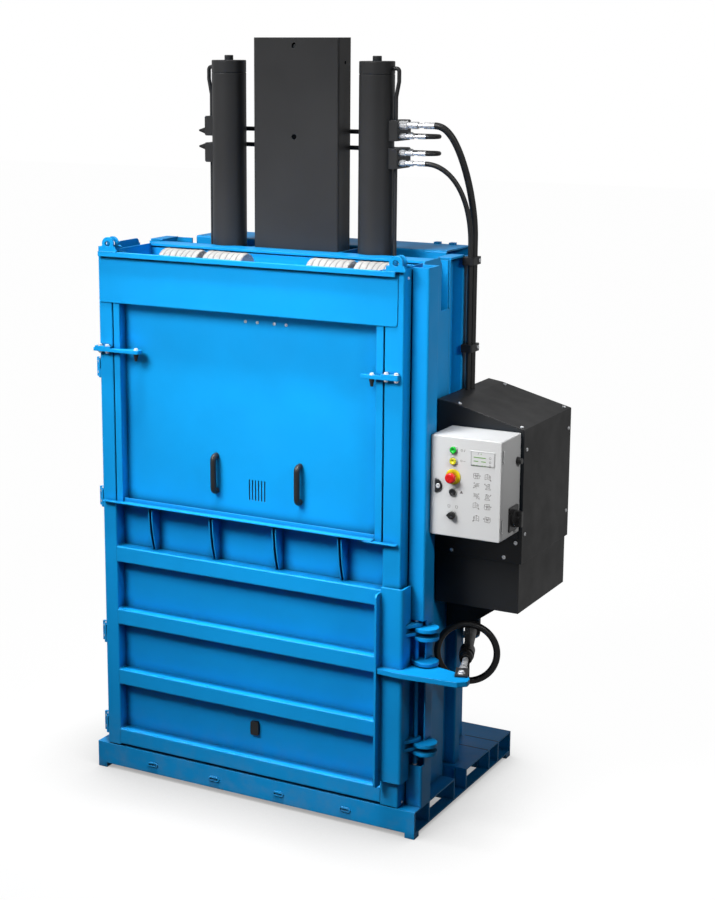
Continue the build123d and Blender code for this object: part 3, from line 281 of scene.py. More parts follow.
def weld_tree():
    """A weld bead: overlapped ripples laid along a line."""
    amounts = (("Ripple Step", 0.0036), ("Bead Radius", 0.0042))
    tree, start, end = geometry_group("weld_bead", "Line", amounts, "Bead")
    new, link = tree.nodes.new, tree.links.new
    curve = new("GeometryNodeMeshToCurve")
    points = new("GeometryNodeCurveToPoints")
    points.mode = "LENGTH"
    ripple = new("GeometryNodeMeshUVSphere")
    tune(ripple, segments=8, rings=5)
    squeeze = new("ShaderNodeCombineXYZ")
    tune(squeeze, x=1.0, y=1.0, z=0.62)
    wander = new("FunctionNodeRandomValue")
    wander.data_type = "FLOAT"
    wander.inputs[2].default_value, wander.inputs[3].default_value = 0.86, 1.12
    tune(wander, seed=4)
    size = new("ShaderNodeVectorMath")
    size.operation = "SCALE"
    link(start.outputs["Line"], curve.inputs["Mesh"])
    link(curve.outputs["Curve"], points.inputs["Curve"])
    link(start.outputs["Ripple Step"], points.inputs["Length"])
    link(start.outputs["Bead Radius"], ripple.inputs["Radius"])
    link(squeeze.outputs[0], size.inputs[0])
    link(wander.outputs[1], size.inputs["Scale"])
    lay_out(tree, start, end, points.outputs["Points"], ripple.outputs["Mesh"], points.outputs["Rotation"],
            size.outputs[0])
    return tree


WELD_BEAD = weld_tree()
RIPPLE_SHARE = 0.85
STRONG_BEAD, THIN_BEAD = 0.0034, 0.0030


def set_input(modifier, label, value):
    """Sets a tree's input by the identifier of its socket."""
    for item in modifier.node_group.interface.items_tree:
        if item.item_type == "SOCKET" and item.in_out == "INPUT" and item.name == label:
            modifier[item.identifier] = value
            return
    raise KeyError(label)


def settle(thing, name):
    """Swaps an object with a node tree for the plain mesh that the tree makes."""
    picture = bpy.context.evaluated_depsgraph_get()
    mesh = bpy.data.meshes.new_from_object(thing.evaluated_get(picture))
    mesh.name = name
    made = shown(name, mesh)
    bpy.data.objects.remove(thing)
    return made


def grown(name, mesh, tree, sizes, material, body):
    """Runs a mesh through a geometry tree and keeps what comes out as a piece on a body."""
    thing = shown(mesh.name, mesh)
    modifier = thing.modifiers.new("tree", "NODES")
    modifier.node_group = tree
    for label, size in sizes.items():
        set_input(modifier, label, size)
    set_input(modifier, "Finish", material)
    piece = settle(thing, name)
    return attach(piece, body)


def welded(name, lines, body, radius):
    """Weld beads along straight lines, each a pair of points in metres."""
    ends = [point for line in lines for point in line]
    mesh = bpy.data.meshes.new(name + "_lines")
    mesh.from_pydata(ends, [(i, i + 1) for i in range(0, len(ends), 2)], [])
    sizes = {"Bead Radius": radius, "Ripple Step": radius * RIPPLE_SHARE}
    grown(name, mesh, WELD_BEAD, sizes, blue_coat, body).data.shade_smooth()


base_low, base_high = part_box("base_frame")
RIB_INSETS = (0.141, 0.380, 0.490, 0.728, 0.835)
RIB_END, RIB_FOOT, RIB_HEAD = 0.051, 0.027, 0.008
rib_seams = []
for inset in RIB_INSETS:
    y = base_low.y + inset
    for x in (base_low.x + RIB_END, base_high.x - RIB_END):
        rib_seams.append(((x, y, RIB_FOOT), (x, y, base_high.z - RIB_HEAD)))
EYE_XS = (-0.4605, -0.1555, 0.1495, 0.4545)
EYE_HALF, EYE_Z = 0.015, 0.0695
for x in EYE_XS:
    y = base_low.y + 0.0035
    rib_seams.append(((x - EYE_HALF, y, EYE_Z), (x + EYE_HALF, y, EYE_Z)))
welded("base_welds", rib_seams, "machine", STRONG_BEAD)
joint_black = coated_steel("plate_joint", (0.002, 0.020, 0.045), (0.010, 0.060, 0.120), dust=0.0)


def flat_plates(name, boxes, material, body):
    """Thin sheets, each from its two corners, with all their edges slightly broken."""
    mesh = bmesh.new()
    for low, high in boxes:
        made = bmesh.ops.create_cube(mesh, size=1.0)["verts"]
        for vert in made:
            vert.co = Vector([high[i] if vert.co[i] > 0 else low[i] for i in range(3)])
    plates = shown_mesh(name, mesh)
    ease = plates.modifiers.new("edges", "BEVEL")
    ease.width, ease.segments = 0.0002, 1
    return finished(settle(plates, name), material, body)


DECK_JOINTS = (0.7235, 0.8305)
JOINT_WIDTH, JOINT_FROM_WALL, JOINT_FROM_END = 0.0050, 0.012, 0.002
wall_low, wall_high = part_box("rear_wall")
deck_joints = []
for inset in DECK_JOINTS:
    y = base_low.y + inset
    under, over = base_high.z - 0.0004, base_high.z + 0.0005
    for x0, x1 in ((wall_high.x + JOINT_FROM_WALL, base_high.x - JOINT_FROM_END),
                   (base_low.x + JOINT_FROM_END, wall_low.x - JOINT_FROM_WALL)):
        deck_joints.append(((x0, y, under), (x1, y + JOINT_WIDTH, over)))
flat_plates("deck_joints", deck_joints, joint_black, "machine")


# Chamber
# The walls, columns and rear wall are folded sheet stood on the base; the floor is five raised channels
# with slots for the straps. The flats are the same blue, and scuffed where bales slide out.
dress(blue_coat, "side_wall_left", "side_wall_right", "rear_wall", "side_columns", "corner_post",
      "anchor_bracket")
scuffed_coat = coated_steel("scuffed_blue_coat", BALER_BLUE, (0.42, 0.44, 0.46), clouds=0.12, rub=0.8,
                            dust=0.6, sheen_low=0.42)
dress(scuffed_coat, "chamber_floor")

EAR_ZS = (0.836, 0.803, 0.701, 0.368, 0.335)
EAR_THICK = 0.014
SEAM_X, SEAM_Y0, SEAM_Y1 = 0.7615, -0.320, -0.345
ear_seams = []
for z in EAR_ZS:
    for level in (z - 0.001, z + EAR_THICK + 0.001):
        ear_seams.append(((SEAM_X, SEAM_Y0, level), (SEAM_X, SEAM_Y1, level)))
welded("ear_welds", ear_seams, "machine", THIN_BEAD)


# Top frame
# Channels tie the walls together round the tower and the cylinders. A folded tray lies behind the door.
# The rear channel is turned open side down, with three small clips on it.
dress(blue_coat, "front_beam", "rear_beam", "roll_tray")


# Strap rolls
# Woven polyester strap wound on card cores, in four rolls that lie in the tray ready to be threaded.
# The strap is cross-wound, so the roll's face is a row of soft bands and its ends show the strap's edges.
ROLL_STARTS = (-0.484, -0.276, 0.198, 0.404)
ROLL_LENGTH = 0.182
BANDS = 7
roll_low, roll_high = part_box("strap_rolls")
roll_radius = (roll_high.z - roll_low.z) / 2
roll_y, roll_z = (roll_low.y + roll_high.y) / 2, (roll_low.z + roll_high.z) / 2


def attribute(tree, name):
    """A value that a mesh carries at its points."""
    node = tree.nodes.new("ShaderNodeAttribute")
    node.attribute_name = name
    return node.outputs["Fac"]


def woven_strap_material():
    """White woven polyester, with painted shade in the furrows between the bands, speckled where the strap
    stands on edge.
    """
    material, tree, shader = new_material("woven_strap")
    place = object_place(tree)
    weave = tree.nodes.new("ShaderNodeTexWave")
    weave.bands_direction = "X"
    tune(weave, scale=240.0, distortion=1.2)
    tree.links.new(place, weave.inputs["Vector"])
    speck = spread(tree, noise(tree, place, 420.0, 2.0, 0.7), 0.42, 0.60)
    stain = spread(tree, noise(tree, place, 18.0, 3.0), 0.35, 0.75)
    face = mixed(tree, stain, (0.45, 0.45, 0.44), (0.36, 0.36, 0.35))
    face = mixed(tree, maths(tree, "MULTIPLY", weave.outputs["Fac"], 0.16), face, (0.30, 0.30, 0.29))
    # Painted shade: dark grey in the furrows between the bands.
    face = mixed(tree, attribute(tree, "furrow_shade"), face, (0.12, 0.12, 0.12))
    end = mixed(tree, speck, (0.70, 0.70, 0.69), (0.08, 0.08, 0.08))
    tree.links.new(mixed(tree, attribute(tree, "edge_on"), face, end), shader.inputs["Base Color"])
    bumped(tree, shader, maths(tree, "ADD", weave.outputs["Fac"], speck), 0.5, 0.0008)
    tune(shader, roughness=0.62, sheen_weight=0.15)
    return material


def revolved(name, profile, turns, ease=None):
    """A closed ring of revolution about X from (x, radius) pairs, merged and with its faces outwards."""
    mesh = bmesh.new()
    rows = []
    for i in range(turns):
        angle = 2 * math.pi * i / turns
        row = []
        for k, (x, r) in enumerate(profile):
            if ease:
                x, r = ease(x, r, angle, k)
            row.append(mesh.verts.new((x, r * math.cos(angle), r * math.sin(angle))))
        rows.append(row)
    count = len(profile)
    for i in range(turns):
        for k in range(count):
            a, b = rows[i], rows[(i + 1) % turns]
            mesh.faces.new((a[k], a[(k + 1) % count], b[(k + 1) % count], b[k]))
    bmesh.ops.remove_doubles(mesh, verts=mesh.verts, dist=1e-6)
    bmesh.ops.recalc_face_normals(mesh, faces=mesh.faces)
    made = shown_mesh(name, mesh)
    made.data.shade_smooth()
    return made


def put(thing, matrix):
    """Moves a mesh to its place and leaves its object at the origin."""
    thing.data.transform(matrix)
    return thing


woven_strap = woven_strap_material()
CORE_RADIUS, BAND_SWELL, ROLL_EDGE = 0.019, 0.0042, 0.0025
# Where the painted furrow shade starts below the crown, and over what depth it grows full.
EDGE_LAYERS, FURROW_SHADE_FROM, FURROW_SHADE_FADE = 8, 0.0030, 0.0014
STRAIGHT_END, WAVE, LOOSE = 0.004, 0.0022, 0.0006
crown, layers = [], []
for step in range(BANDS * 6 + 1):
    share = step / (BANDS * 6)
    within = (share * BANDS) % 1.0
    swell = BAND_SWELL * (math.sin(math.pi * within) ** 0.45 - 1.0) if 0 < step < BANDS * 6 else -0.0045
    crown.append((share * ROLL_LENGTH, roll_radius + swell))
for k in range(EDGE_LAYERS + 1):
    r = roll_radius - 0.006 - (roll_radius - 0.008 - CORE_RADIUS) * k / EDGE_LAYERS
    layers.append((0.0018 if k % 2 else 0.0004, r))
ends = [(ROLL_LENGTH - x, r) for x, r in layers]
inside = [(ROLL_LENGTH, CORE_RADIUS), (0.0, CORE_RADIUS)]
profile = crown + ends + inside + layers[::-1]
for index, start in enumerate(ROLL_STARTS):
    chance = random.Random(7 + index)
    turn = chance.uniform(0, 6.28)

    def wound(x, r, angle, k, turn=turn, last=len(crown)):
        """Cross winding pulls the bands a little to and fro round the roll."""
        if k >= last or x < STRAIGHT_END or x > ROLL_LENGTH - STRAIGHT_END:
            return x, r
        wave = math.sin(3 * angle + turn + x * 60) * WAVE
        loose = math.sin(7 * angle + turn * 2 + x * 35) * LOOSE - LOOSE
        return x + wave, r + loose

    roll = revolved(f"strap_roll_{index + 1}", profile, 72, wound)
    edge_on = roll.data.attributes.new("edge_on", "FLOAT", "POINT")
    furrow_shade_share = roll.data.attributes.new("furrow_shade", "FLOAT", "POINT")
    for vertex, end_share, depth in zip(roll.data.vertices, edge_on.data, furrow_shade_share.data):
        end_share.value = 1.0 if vertex.co.x < ROLL_EDGE or vertex.co.x > ROLL_LENGTH - ROLL_EDGE else 0.0
        sunk = roll_radius - FURROW_SHADE_FROM - math.hypot(vertex.co.y, vertex.co.z)
        depth.value = min(1.0, max(0.0, sunk / FURROW_SHADE_FADE))
    put(roll, Matrix.Translation((start, roll_y, roll_z)))
    finished(roll, woven_strap, "machine")
    if index == 0:
        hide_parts("strap_rolls")


# Tower, cylinders and press
# A closed box section holds the mast of the press between two hydraulic cylinders, all in satin black.
# The chromed rods push a blue box platen with grooves for the straps under it.
# A dull black disc is painted shade inside the middle hole of the tower, closing the view into it.
TOWER_BLACK = (0.037, 0.037, 0.038)
# Lighter grey along the edges of black parts: wear and a painted highlight.
WORN_AND_HIGHLIT_BLACK = (0.16, 0.16, 0.165)
tower_black = coated_steel("satin_black_paint", TOWER_BLACK, WORN_AND_HIGHLIT_BLACK, specular=0.3, clouds=0.10, rub=0.35,
                           dust=0.0, peel=0.12, sheen_low=0.34)
dress(tower_black, "guide_tower", "cylinder_barrels", "guide_mast", "manifold_blocks", "hydraulic_pipes")
dress(blue_coat, "press_plate")
TO_FRONT = Matrix.Rotation(math.radians(-90), 4, "Z")
HOLE_X, HOLE_DROP, HOLE_DEPTH, HOLE_RADIUS = -0.0065, 0.390, 0.0040, 0.0106
tower_low, tower_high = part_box("guide_tower")
painted_hole_shade = coated_steel("painted_hole_shade", (0.0012, 0.0012, 0.0012), (0.002, 0.002, 0.002), specular=0.05,
                          dust=0.0)
disc_profile = [(0.0, 0.0004), (0.0, HOLE_RADIUS), (0.0010, HOLE_RADIUS), (0.0010, 0.0004)]
shade = revolved("hole_shade", disc_profile, 32)
put(shade, Matrix.Translation((HOLE_X, tower_low.y + HOLE_DEPTH, tower_high.z - HOLE_DROP)) @ TO_FRONT)
finished(shade, painted_hole_shade, "machine")


def plated_group():
    """Bright plating: fine turning lines, a cloudy tone and small dull spots."""
    tree, start, end = new_group(
        "plating",
        (
            ("Metal", "NodeSocketColor", (0.62, 0.63, 0.64, 1.0)),
            ("Dull", "NodeSocketColor", (0.36, 0.36, 0.37, 1.0)),
            ("Spots", "NodeSocketFloat", 0.4),
            ("Sheen", "NodeSocketFloat", 0.22),
        ),
        (("Color", "NodeSocketColor"), ("Roughness", "NodeSocketFloat"), ("Height", "NodeSocketFloat")),
    )
    place = object_place(tree)
    cloudy = spread(tree, noise(tree, place, 60.0, 4.0, 0.6), 0.42, 0.70)
    share = maths(tree, "MULTIPLY", cloudy, start.outputs["Spots"], True)
    tree.links.new(mixed(tree, share, start.outputs["Metal"], start.outputs["Dull"]), end.inputs["Color"])
    rough = maths(tree, "ADD", start.outputs["Sheen"], maths(tree, "MULTIPLY", cloudy, 0.14), True)
    tree.links.new(rough, end.inputs["Roughness"])
    tree.links.new(noise(tree, place, 900.0, 1.0), end.inputs["Height"])
    return tree


PLATING = plated_group()


def plated(name, metal, dull, spots, sheen, metallic=1.0):
    """Chromed or zinc-plated steel."""
    material, tree, shader = new_material(name)
    plating = tree.nodes.new("ShaderNodeGroup")
    plating.node_tree = PLATING
    tune(plating, metal=(*metal, 1.0), dull=(*dull, 1.0), spots=spots, sheen=sheen)
    tree.links.new(plating.outputs["Color"], shader.inputs["Base Color"])
    tree.links.new(plating.outputs["Roughness"], shader.inputs["Roughness"])
    bumped(tree, shader, plating.outputs["Height"], 0.12, 0.0003)
    tune(shader, metallic=metallic)
    return material


hard_chrome = plated("hard_chrome", (0.80, 0.80, 0.81), (0.62, 0.62, 0.64), 0.2, 0.08)
bright_zinc = plated("bright_zinc", (0.80, 0.81, 0.83), (0.50, 0.51, 0.53), 0.40, 0.26, 0.45)
dress(hard_chrome, "piston_rods")


# Door
# Two square posts, four rails and a tie, welded up and closed with sheets behind; it swings on four hinges.
# A thin header is folded forward along its top, and pairs of lifting eyes stand on the posts.
dress(blue_coat, "door_frame", "door_panels", "header_plate", "lifting_lugs", "guide_strips",
      "strap_guide_ribs", "hinge_leaves", "stop_brackets")
door_low, door_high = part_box("door_frame")
LEFT_INNER, RIGHT_INNER = -0.6225, 0.6085
RAIL_TOPS = (0.995, 0.722, 0.457, 0.190)
RAIL_HEIGHT = 0.068
seam_front, seam_back = door_low.y + 0.006, door_low.y + 0.047
door_seams = []
for top in RAIL_TOPS:
    for x in (LEFT_INNER + 0.001, RIGHT_INNER - 0.001):
        for z in (top + 0.001, top - RAIL_HEIGHT - 0.001):
            if z > RAIL_TOPS[-1] - RAIL_HEIGHT:
                door_seams.append(((x, seam_front, z), (x, seam_back, z)))
LUG_XS = (-0.6275, 0.6585)
LUG_HALF = 0.040
lug_back, lug_front = door_low.y + 0.028, door_low.y - 0.0155
header_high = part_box("header_plate")[1]
for x in LUG_XS:
    left, right = x - LUG_HALF, x + LUG_HALF
    door_seams.append(((left, lug_back, door_high.z), (right, lug_back, door_high.z)))
    right = min(right, header_high.x - 0.006)
    door_seams.append(((left, lug_front, header_high.z), (right, lug_front, header_high.z)))
welded("door_welds", door_seams, "machine", STRONG_BEAD)


def fastener_tree():
    """Screw heads on points that say which way they face: a flange, a head and a recess in its top."""
    amounts = (("Head Radius", 0.007), ("Head Height", 0.005), ("Flange Radius", 0.009),
               ("Flange Height", 0.0015), ("Recess", 0.0), ("Sides", 6))
    tree, start, end = geometry_group("fasteners", "Places", amounts, "Heads")
    new, link = tree.nodes.new, tree.links.new

    def disc(radius, height, sides):
        """An upright prism that stands on its point."""
        prism, lift = new("GeometryNodeMeshCylinder"), new("GeometryNodeTransform")
        feed(tree, sides, prism.inputs["Vertices"])
        link(radius, prism.inputs["Radius"])
        link(height, prism.inputs["Depth"])
        way = new("ShaderNodeCombineXYZ")
        link(maths(tree, "MULTIPLY", height, 0.5), way.inputs["Z"])
        link(prism.outputs["Mesh"], lift.inputs["Geometry"])
        link(way.outputs[0], lift.inputs["Translation"])
        return lift.outputs["Geometry"], prism.outputs["Top"]

    def pushed(geometry, chosen, distance, share):
        """Pulls the chosen face out along its normal and shrinks it."""
        pull, shrink = new("GeometryNodeExtrudeMesh"), new("GeometryNodeScaleElements")
        tune(pull, individual=False)
        link(geometry, pull.inputs["Mesh"])
        link(chosen, pull.inputs["Selection"])
        feed(tree, distance, pull.inputs["Offset Scale"])
        link(pull.outputs["Mesh"], shrink.inputs["Geometry"])
        link(pull.outputs["Top"], shrink.inputs["Selection"])
        tune(shrink, scale=share)
        return shrink.outputs["Geometry"], pull.outputs["Top"]

    flange = disc(start.outputs["Flange Radius"], start.outputs["Flange Height"], 24)[0]
    head, top = disc(start.outputs["Head Radius"], start.outputs["Head Height"], start.outputs["Sides"])
    head, top = pushed(head, top, maths(tree, "MULTIPLY", start.outputs["Head Radius"], 0.12), 0.84)
    head, top = pushed(head, top, 0.0, 0.62)
    head = pushed(head, top, maths(tree, "MULTIPLY", start.outputs["Recess"], -1.0), 0.94)[0]
    both = new("GeometryNodeJoinGeometry")
    link(flange, both.inputs[0])
    link(head, both.inputs[0])
    way = new("GeometryNodeInputNamedAttribute")
    way.data_type = "FLOAT_VECTOR"
    tune(way, name="facing")
    aim = new("FunctionNodeAlignRotationToVector")
    aim.axis = "Z"
    link(way.outputs["Attribute"], aim.inputs["Vector"])
    lay_out(tree, start, end, start.outputs["Places"], both.outputs[0], aim.outputs[0])
    return tree


FASTENERS = fastener_tree()
HEXAGON, ROUND = 6, 20


def fastened(name, places, body, head, flange, recess, sides=ROUND):
    """Zinc heads at (point, facing) pairs, as one mesh on a body; head and flange are (radius, height)."""
    mesh = bpy.data.meshes.new(name + "_places")
    mesh.from_pydata([point for point, _ in places], [], [])
    facing = mesh.attributes.new("facing", "FLOAT_VECTOR", "POINT")
    for entry, (_, way) in zip(facing.data, places):
        entry.vector = way
    sizes = {"Head Radius": head[0], "Head Height": head[1], "Flange Radius": flange[0],
             "Flange Height": flange[1], "Recess": recess, "Sides": sides}
    return grown(name, mesh, FASTENERS, sizes, bright_zinc, body)


FRONT, UP, DOWN, RIGHT = (0, -1, 0), (0, 0, 1), (0, 0, -1), (1, 0, 0)
STOP_Z, STOP_THICK, STOP_LUG = 1.816, 0.014, 0.008
STOP_BOLT_XS = (-0.6775, -0.6425, 0.6215, 0.6635)
stop_y, plate_top = door_low.y - 0.010, STOP_Z + STOP_THICK
hex_places = [((x, stop_y, plate_top + STOP_LUG), UP) for x in STOP_BOLT_XS]
hex_places += [((x, stop_y, STOP_Z), DOWN) for x in STOP_BOLT_XS]
hex_places += [((-0.5095, door_low.y, plate_top), UP), ((0.5615, door_low.y - 0.009, plate_top), UP)]
fastened("stop_bolts", hex_places, "machine", (0.0085, 0.0065), (0.0105, 0.0014), 0.0006, HEXAGON)

HINGE_ROWS = ((1.698, 0.080), (1.149, 0.080), (0.556, 0.084), (0.150, 0.084))
HINGE_SCREW_X, HINGE_FACE_Y = -0.7245, -0.410
round_places = []
for z, height in HINGE_ROWS:
    for share in (0.22, 0.78):
        round_places.append(((HINGE_SCREW_X, HINGE_FACE_Y, z + height * share), FRONT))
round_places += [((door_high.x, door_low.y + 0.037, z), RIGHT) for z in (2.196, 0.129)]
fastened("hinge_screws", round_places, "machine", (0.0052, 0.0030), (0.0062, 0.0010), 0.0018)
dress(bright_zinc, "hinge_pins")


# Gate
# One sheet that slides up in front of the posts' guides, with a ledge along its foot and narrow slots.
# It is lifted by two black bar handles, and rubber buffers under the stops catch it.
# A dark sheet behind the slots is painted shade: it keeps the view into the chamber black.
dress(blue_coat, "gate_panel")
gate_face = door_low.y + 0.042
GATE_SHEET = 0.0040
GATE_SCREW_XS, GATE_SCREW_Z = (-0.0185, 0.0355, 0.1115, 0.1645), 1.980
gate_places = [((x, gate_face, GATE_SCREW_Z), FRONT) for x in GATE_SCREW_XS]
gate_screws = fastened("gate_screws", gate_places, "gate", (0.0058, 0.0026), (0.0062, 0.0008), 0.0016)
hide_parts("gate_bolts")


def moulded(name, colour, roughness=0.42, grain=260.0, depth=0.25, specular=0.4):
    """Moulded plastic or rubber with a fine grain and a slightly uneven gloss."""
    material, tree, shader = new_material(name)
    place = object_place(tree)
    patch = spread(tree, noise(tree, place, 24.0, 3.0), 0.3, 0.7)
    darker = tuple(c * 0.78 for c in colour)
    tree.links.new(mixed(tree, patch, colour, darker), shader.inputs["Base Color"])
    tree.links.new(spread(tree, noise(tree, place, 40.0, 2.0), 0.3, 0.7, roughness - 0.05, roughness + 0.08),
                   shader.inputs["Roughness"])
    bumped(tree, shader, noise(tree, place, grain, 2.0), depth, 0.0004)
    shader.inputs["Specular IOR Level"].default_value = specular
    return material


black_plastic = moulded("black_plastic", (0.014, 0.014, 0.015))
buffer_rubber_and_vent_shade = moulded("buffer_rubber_and_vent_shade", (0.012, 0.012, 0.012), roughness=0.7, grain=420.0)
dress(black_plastic, "door_grip")


BLACK = (black_plastic, "black_plastic")


def bent_bar(name, route, bend, radius, material, slot, body):
    """A round bar bent in arcs at the inner points of its route."""
    points = [Vector(route[0])]
    for before, corner, after in zip(route, route[1:], route[2:]):
        before, corner, after = Vector(before), Vector(corner), Vector(after)
        start = corner + (before - corner).normalized() * bend
        stop = corner + (after - corner).normalized() * bend
        points += [start.lerp(corner, t).lerp(corner.lerp(stop, t), t) for t in (i / 6 for i in range(7))]
    points.append(Vector(route[-1]))
    curve = bpy.data.curves.new(name + "_line", "CURVE")
    curve.dimensions = "3D"
    curve.bevel_depth, curve.bevel_resolution, curve.use_fill_caps = radius, 6, True
    line = curve.splines.new("POLY")
    line.points.add(len(points) - 1)
    for knot, point in zip(line.points, points):
        knot.co = (*point, 1.0)
    made = settle(shown(name + "_line", curve), name)
    made.data.shade_smooth()
    made.data.materials.clear()
    return finished(made, material, body)


# Painted shade: a sheet in the buffers' dark rubber behind the vent slots.
VENT_MIDDLE, VENT_HALF, VENT_LOW, VENT_HIGH = 0.031, 0.046, 1.257, 1.352
gate_back = gate_face + GATE_SHEET
shade_sheet_corners = ((VENT_MIDDLE - VENT_HALF, gate_back, VENT_LOW),
                  (VENT_MIDDLE + VENT_HALF, gate_back + 0.0012, VENT_HIGH))
flat_plates("vent_shade_sheet", [shade_sheet_corners], buffer_rubber_and_vent_shade, "gate")

handle_low, handle_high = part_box("gate_handles")
HANDLE_RADIUS, HANDLE_STAND, HANDLE_BEND = 0.0118, 0.0276, 0.020
HANDLE_SIDE, HANDLE_END = 0.009, 0.003
low, high = handle_low.z + HANDLE_END, handle_high.z - HANDLE_END
reach = gate_face - HANDLE_STAND
for side, x in (("left", handle_low.x + HANDLE_SIDE), ("right", handle_high.x - HANDLE_SIDE)):
    route = ((x, gate_face, low), (x, reach, low), (x, reach, high), (x, gate_face, high))
    handle = bent_bar(f"{side}_handle", route, HANDLE_BEND, HANDLE_RADIUS, *BLACK, "gate")
    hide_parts("gate_handles")
dress(buffer_rubber_and_vent_shade, "stop_buffers")


# Side clamp and tensioner
# A heavy folded sleeve with a lever is drawn round the door post by a screw with a black handwheel.
# The screw is bright steel in black fittings, and its nut tube turns in a block on two trunnions.
dress(blue_coat, "clamp_arm", "clamp_pin")
dress(tower_black, "clevis", "anchor_block")
wheel_black = moulded("wheel_black", (0.0065, 0.0065, 0.0070), roughness=0.36, grain=180.0, depth=0.15,
                      specular=0.35)
dress(wheel_black, "handwheel")
SPINDLE_RADIUS, THREAD_DEPTH, THREAD_PITCH = 0.0120, 0.0013, 0.0045
CREST_FROM, CREST_TO, CREST_END = 0.0012, 0.0026, 0.0038
SPINDLE_FROM, SPINDLE_TO = 0.0600, 0.4230
LEVER_PIN, ANCHOR = Vector((0.9305, -0.418, 0.686)), Vector((0.7220, 0.165, 0.686))
lie = math.atan2(ANCHOR.y - LEVER_PIN.y, ANCHOR.x - LEVER_PIN.x)
TO_TENSIONER = Matrix.Translation(LEVER_PIN) @ Matrix.Rotation(lie, 4, "Z")
root = SPINDLE_RADIUS - THREAD_DEPTH
thread = [(SPINDLE_FROM, 0.0010), (SPINDLE_FROM, root)]
ridge = SPINDLE_FROM + THREAD_PITCH
while ridge < SPINDLE_TO - THREAD_PITCH:
    thread += [(ridge, root), (ridge + CREST_FROM, SPINDLE_RADIUS), (ridge + CREST_TO, SPINDLE_RADIUS),
               (ridge + CREST_END, root)]
    ridge += THREAD_PITCH
thread += [(SPINDLE_TO, root), (SPINDLE_TO, 0.0010)]
spindle = put(revolved("threaded_spindle", thread, 32), TO_TENSIONER)
finished(spindle, bright_zinc, "spindle")
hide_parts("tension_spindle")

PIVOT_X, PIVOT_Y = 0.7265, -0.386
pin_low, pin_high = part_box("clamp_pin")
pin_places = [((PIVOT_X, PIVOT_Y, pin_high.z), UP), ((PIVOT_X, PIVOT_Y, pin_low.z), DOWN)]
fastened("pin_bolt", pin_places, "machine", (0.0085, 0.0060), (0.0105, 0.0012), 0.0008, HEXAGON)
CLEVIS_HEAD = 0.0082
bolt_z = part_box("clevis")[1].z - CLEVIS_HEAD
lever_places = [((LEVER_PIN.x, LEVER_PIN.y, bolt_z), UP)]
fastened("lever_bolt", lever_places, "spindle", (0.0122, 0.0086), (0.0145, 0.0016), 0.0008, HEXAGON)
shank_profile = [(0.0602, 0.0122), (0.0602, 0.0158), (0.0620, 0.0168), (0.1070, 0.0168), (0.1070, 0.0122)]
sleeve_profile = [(0.2010, 0.0180), (0.2010, 0.0205), (0.2030, 0.0222), (0.2230, 0.0222), (0.2250, 0.0262),
                  (0.2466, 0.0275), (0.2466, 0.0180)]
shank = put(revolved("spindle_shank", shank_profile, 40), TO_TENSIONER)
finished(shank, bright_zinc, "spindle")
sleeve = put(revolved("nut_sleeve", sleeve_profile, 40), TO_TENSIONER)
finished(sleeve, wheel_black, "wheel")
FIN_X, FIN_Y = 0.6175, -0.4815
fin_seams = [((FIN_X, FIN_Y, low), (FIN_X, FIN_Y, high)) for low, high in ((0.230, 0.672), (0.700, 0.985))]
welded("clamp_welds", fin_seams, "clamp", THIN_BEAD)


# Power pack
# A folded black housing over the pump, on the oil tank, hung from the wall on a shelf with two gussets.
# Zinc screws hold the sheets together.
pack_black = coated_steel("pack_black_paint", (0.010, 0.010, 0.0105), WORN_AND_HIGHLIT_BLACK, specular=0.35, clouds=0.12,
                          rub=0.25, dust=0.0, peel=0.10, sheen_low=0.42)
dress(pack_black, "pack_cover", "oil_tank", "pump_motor", "pack_brackets")
pack_low, pack_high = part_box("pack_cover")
pack_places = [((x, pack_low.y, z), FRONT) for x, z in ((0.768, 1.106), (1.035, 1.169), (0.988, 1.106))]
SIDE_SCREWS = ((-0.142, 1.535), (-0.142, 1.202), (0.296, 1.535), (0.296, 1.195))
pack_places += [((pack_high.x, y, z), RIGHT) for y, z in SIDE_SCREWS]
ROOF_RUN, ROOF_FALL, ROOF_TOP, ROOF_FLAT = 0.300, 0.078, 1.692, 0.060
slope = Vector((ROOF_FALL, 0, ROOF_RUN)).normalized()
for x in (0.782, 1.040):
    for y in (-0.146, 0.296):
        z = ROOF_TOP - ROOF_FALL / ROOF_RUN * (x - pack_low.x - ROOF_FLAT)
        pack_places.append(((x, y, z), tuple(slope)))
CLAMP_BOLT_X, CLAMP_BOLT_Y = 0.7415, 0.108
pack_places += [((CLAMP_BOLT_X, CLAMP_BOLT_Y, z), RIGHT) for z in (2.210, 1.865)]
pack_screws = fastened("pack_screws", pack_places, "machine", (0.0068, 0.0030), (0.0078, 0.0010), 0.0020)
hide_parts("bolts")


# Control box
# A light-grey steel cabinet whose door carries push buttons, the stop, the selector and a panel of lights.
# Plain signs are printed beside the buttons, and ten small drawings of a bale's steps stand at the right.
CABINET_GREY = (0.680, 0.684, 0.684)
cabinet_coat = coated_steel("cabinet_grey_coat", CABINET_GREY, (0.75, 0.75, 0.75), specular=0.3, clouds=0.03,
                            rub=0.2, dust=0.0, peel=0.25, sheen_low=0.40)
dress(cabinet_coat, "control_box", "control_door")
switch_black = moulded("switch_black", (0.026, 0.026, 0.027), roughness=0.30, depth=0.1, specular=0.5)
dress(switch_black, "main_switch_plate", "main_switch_knob", "cable_gland")


def glossy(name, colour, roughness):
    """Smooth coloured plastic."""
    return moulded(name, colour, roughness, depth=0.05, specular=0.5)


